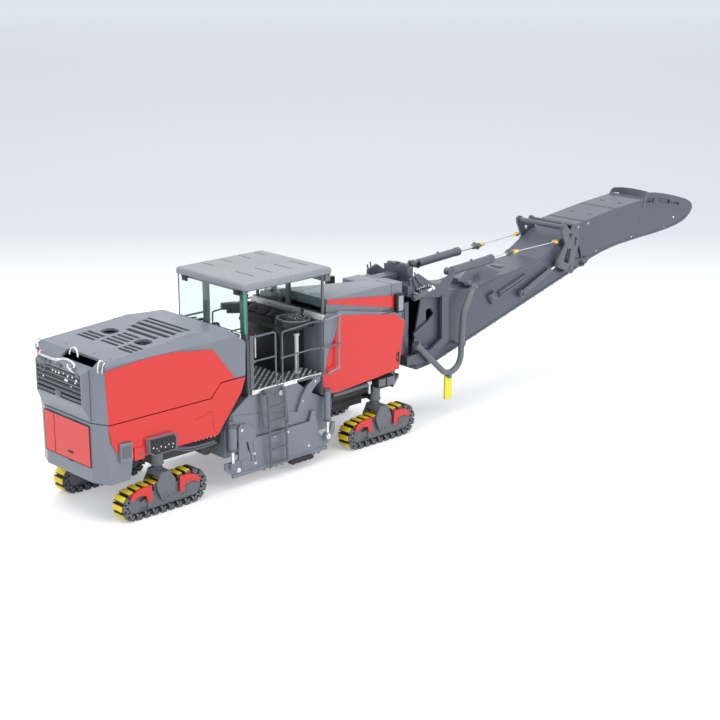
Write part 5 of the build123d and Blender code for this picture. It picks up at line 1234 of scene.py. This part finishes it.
def noseTrim():
    lips = bmesh.new()
    loops = [[(373.6, 86.8), (380.2, 85.8), (379.4, 82.9), (373, 83.8)],
             [(385.7, 84.9), (395, 82.9), (394.8, 80.9), (386.3, 82.4)],
             [(397.5, 81.6), (403.6, 80.1), (403.9, 79), (398.2, 80.2)]]
    for side in (-1, 1):
        low, high = sorted((side * 11.9, side * 12.35))
        for loop in loops:
            middle = sum((Vector(p) for p in loop), Vector((0, 0))) / len(loop)
            outer = [tuple(Vector(p) + (Vector(p) - middle).normalized() * 0.45) for p in loop]
            border(lips, loop, outer, low, high, "y", 0)
        prism(lips, [(371.2, 86.6), (372.6, 88.4), (374.4, 88.9), (370.8, 81.8), (369.6, 81.4)], low, high, "y", 0.1)
        prism(lips, [(376, 65.5), (394, 66.6), (402, 67.6), (408, 68.9), (412.4, 70.8), (411.8, 71.5), (401.8, 68.4),
                     (376, 66.2)], low, high, "y", 0.06)
        prism(lips, [(320, 60), (346, 64), (372, 65.4), (372, 66.1), (346, 64.8), (320, 60.9)], low, high, "y", 0.06)
    piece("noseLips", lips, railGrey, "nose")
    dots, holes = [], []
    dots += both([(399.5, 12, 72.3, 0.5), (322, 12, 79.6, 0.42), (313.8, 12, 78.6, 0.5), (330, 12, 63.4, 0.3),
                  (361, 12, 66.6, 0.3), (391, 12, 67.8, 0.3)])
    # Black domes where the nose plates have small holes: painted shade of the holes.
    holes += both([(348, 11.95, 80.2, 0.42), (367.6, 11.95, 72.9, 0.42), (367.6, 11.95, 75.6, 0.3),
                   (404.6, 11.95, 80.2, 0.3)])
    repeat("noseBolts", hexBolt(), dots, brightSteel, "nose", seed=28)
    repeat("nosePlugs", dome(), holes, blackPlastic, "nose", seed=29)
    lid = bmesh.new()
    for x, z in ((318, 81.35), (345, 84.4), (369, 86.25)):
        slab(lid, (x, -11.7, z - 0.25), (x + 0.6, 11.7, z + 0.2), 0.12)
    for y in (-6, 6):
        for x, z in ((330, 82.65), (356, 85.25)):
            slab(lid, (x, y - 1.2, z - 0.3), (x + 3, y + 1.2, z + 0.28), 0.2)
    piece("noseStraps", lid, deepGrey, "nose")
    drum = bmesh.new()
    turned(drum, (406.4, -10.6, 73.8), (406.4, 10.6, 73.8),
           [(0, 3.2), (0.5, 3.7), (3, 3.85), (10.6, 4), (18.2, 3.85), (20.7, 3.7), (21.2, 3.2)], 30)
    piece("headDrum", drum, darkSteel, "nose")
    cleats = []
    cleat = bmesh.new()
    slab(cleat, (-0.35, -9.8, -0.1), (0.35, 9.8, 0.9), 0.15, Matrix.Identity(4))
    for k in range(9):
        x = 352 + k * 6
        cleats.append((at(x, 0, 72.5 + (x - 345) * 0.078), Euler((0, -0.08, 0)), 1))
    repeat("beltCleats", cleat, cleats, beltRubber, "nose", seed=30)


def cylinderTrim():
    for sideName, side in sides.items():
        y = side * 11.5
        base, clevis = Vector((214.7, y, 70.5)), Vector((259.2, y, 73))
        cableEnd = Vector((296.8, side * 13.4, 74.1))
        run = (clevis - base).normalized()
        cable = (cableEnd - clevis).normalized()
        barrel = "lift_barrel_body_" + sideName
        shell = bmesh.new()
        turned(shell, base + run * 1.2, base + run * 33, [(0, 1.2), (0.9, 1.9), (2.2, 2.22), (3, 2.22), (3.2, 2.14)],
               26)
        washer(shell, base + run * 28.6, base + run * 31.3, 1.1, 2.28, 28)
        washer(shell, base + run * 24, base + run * 24.5, 2, 2.2, 28)
        turned(shell, base + run * 16 + Vector((0, 0, 1.9)), base + run * 16 + Vector((0, 0, 4)),
               [(0, 0.9), (0.4, 0.8), (0.8, 0.6), (1.1, 0.4)], 8)
        piece("liftShell_" + sideName, shell, railGrey, barrel)
        ring = bmesh.new()
        washer(ring, (214.7, y - 2.25, 70.5), (214.7, y + 2.25, 70.5), 1.05, 1.5, 22)
        piece("liftEye_" + sideName, ring, blackPlastic, barrel)

        rodBody = "lift_rod_body_" + sideName
        rod = bmesh.new()
        bar(rod, base + run * 12.4, clevis - run * 1.2, 0.88, 22)
        bar(rod, clevis + cable * 6, clevis + cable * 33.6, 0.2, 8)
        shaft = piece("liftRod_" + sideName, rod, brightSteel, rodBody)
        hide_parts("lift_rod_" + sideName)
        fork = bmesh.new()
        for offset in (-1.75, 0.75):
            turned(fork, (259.2, y + offset, 73), (259.2, y + offset + 1, 73),
                   [(0, 1.5), (0.2, 1.75), (0.8, 1.75), (1, 1.5)], 22)
        turned(fork, clevis - run * 3.2, clevis, [(0, 0.95), (0.3, 1.3), (2, 1.45), (2.6, 1.2)], 20)
        bar(fork, (259.2, y - 2.3, 73), (259.2, y + 2.3, 73), 0.8, 16)
        piece("liftFork_" + sideName, fork, darkSteel, rodBody)
        ferrules = bmesh.new()
        for start, end, radius in ((0.6, 6.6, 1), (32.4, 36, 1.15)):
            length = end - start
            turned(ferrules, clevis + cable * start, clevis + cable * end,
                   [(0, 0.5), (0.3, radius), (length * 0.35, radius), (length * 0.4, radius * 0.8),
                    (length * 0.6, radius * 0.8), (length * 0.65, radius * 0.95), (length - 0.4, radius * 0.85),
                    (length, 0.4)], 16)
        for start in (2.4, 34):
            turned(ferrules, clevis + cable * start, clevis + cable * (start + 1.5),
                   [(0, 0.9), (0.2, 1.25), (1.2, 1.25), (1.4, 0.9)], 6)
        piece("ferrules_" + sideName, ferrules, brass, rodBody)

        y = side * 13.8
        base, eye = Vector((267, y, 50.8)), Vector((295.2, y, 61.8))
        run = (eye - base).normalized()
        shell = bmesh.new()
        washer(shell, base + run * 22.6, base + run * 24.2, 0.8, 1.5, 24)
        washer(shell, base + run * 3.4, base + run * 4.4, 1.2, 1.5, 24)
        washer(shell, (267, y - 1, 50.8), (267, y + 1, 50.8), 0.95, 2, 26)
        piece("foldShell_" + sideName, shell, railGrey, "fold_barrel_body_" + sideName)
        ends = bmesh.new()
        washer(ends, (267, y - 1.06, 50.8), (267, y + 1.06, 50.8), 0.7, 1.1, 22)
        piece("foldEye_" + sideName, ends, blackPlastic, "fold_barrel_body_" + sideName)
        tip = bmesh.new()
        turned(tip, eye - run * 2.6, eye, [(0, 0.65), (0.2, 0.95), (1.2, 0.95), (1.5, 0.7)], 16)
        piece("foldTip_" + sideName, tip, darkSteel, "fold_rod_body_" + sideName)


slewTrim()
conveyorTrim()
noseTrim()
cylinderTrim()
print("conveyor trimmed")


# Floor and light

def seenDirectly(tree):
    # One for the camera, for mirrors and through glass.
    path = addNode(tree, "ShaderNodeLightPath").outputs
    seen = maths(tree, "MAXIMUM", path["Is Camera Ray"], path["Is Glossy Ray"])
    return maths(tree, "MAXIMUM", seen, path["Is Transmission Ray"])


def litFloor():
    settings = {"half": 9.0, "near": (0.90, 0.90, 0.905), "middle": (0.56, 0.585, 0.62), "far": (0.83, 0.88, 0.93),
                "lift": 0.36, "firstFade": (0.08, 0.42), "secondFade": (0.6, 2.8)}
    mesh = bpy.data.meshes.new("floor")
    half = settings["half"]
    mesh.from_pydata([(-half, -half, 0), (half, -half, 0), (half, half, 0), (-half, half, 0)], [], [(0, 1, 2, 3)])
    floor = bpy.data.objects.new("floor", mesh)
    scene.collection.objects.link(floor)
    material, tree, shader, coords = nodeTree("floorPaper")
    # The floor's colour is graded along the view: white near the machine, a darker blue-grey in the middle distance
    # and a pale blue-grey far off. This is painted light and shade that, with the lamps, gives the fall of light over
    # the studio floor and sweep.
    away = dotted(tree, coords, (math.cos(lookYaw), math.sin(lookYaw), 0.0))
    tone = blendColours(tree, ramp(tree, away, 0.0, 1.0, *settings["firstFade"]), settings["near"],
                        settings["middle"])
    tone = blendColours(tree, ramp(tree, away, 0.0, 1.0, *settings["secondFade"]), tone, settings["far"])
    feed(tree, shader, {"Base Color": tone, "Emission Color": tone, "Roughness": 0.9, "Specular IOR Level": 0.1,
                        "Emission Strength": ramp(tree, seenDirectly(tree), 0.0, settings["lift"])})
    mesh.materials.append(material)


def softLamp(name, place, aim, size, power):
    data = bpy.data.lights.new(name, "AREA")
    data.shape = "RECTANGLE"
    data.size, data.size_y = size
    data.energy = power
    lamp = bpy.data.objects.new(name, data)
    scene.collection.objects.link(lamp)
    lamp.location = place
    lamp.rotation_euler = (Vector(aim) - Vector(place)).to_track_quat("-Z", "Y").to_euler()


def roomLight():
    # A white room to look at, and a weaker, cooler one that lights the machine.
    settings = {"seen": (1.0, 1.0, 1.0, 1.0), "light": (0.93, 0.96, 1.0, 1.0), "power": 0.5}
    scene.world = bpy.data.worlds.new("room")
    scene.world.use_nodes = True
    tree = scene.world.node_tree
    tree.nodes.clear()
    seen = addNode(tree, "ShaderNodeBackground", {"Color": settings["seen"], "Strength": 1.0})
    light = addNode(tree, "ShaderNodeBackground", {"Color": settings["light"], "Strength": settings["power"]})
    mixed = addNode(tree, "ShaderNodeMixShader", {0: seenDirectly(tree), 1: light.outputs["Background"],
                                                  2: seen.outputs["Background"]})
    addNode(tree, "ShaderNodeOutputWorld", {"Surface": mixed.outputs["Shader"]})


litFloor()
roomLight()
softLamp("overhead", (-0.1, 0.1, 1.35), (0.0, 0.0, 0.0), (1.7, 1.3), 12.5)
softLamp("frontSide", (0.35, -1.35, 0.7), (0.0, 0.0, 0.05), (1.1, 0.9), 7.5)
softLamp("rearFill", (-1.3, -0.2, 0.6), (-0.1, 0.0, 0.05), (0.8, 0.8), 3.6)
print("stage lit")

scene.view_settings.view_transform = "Standard"
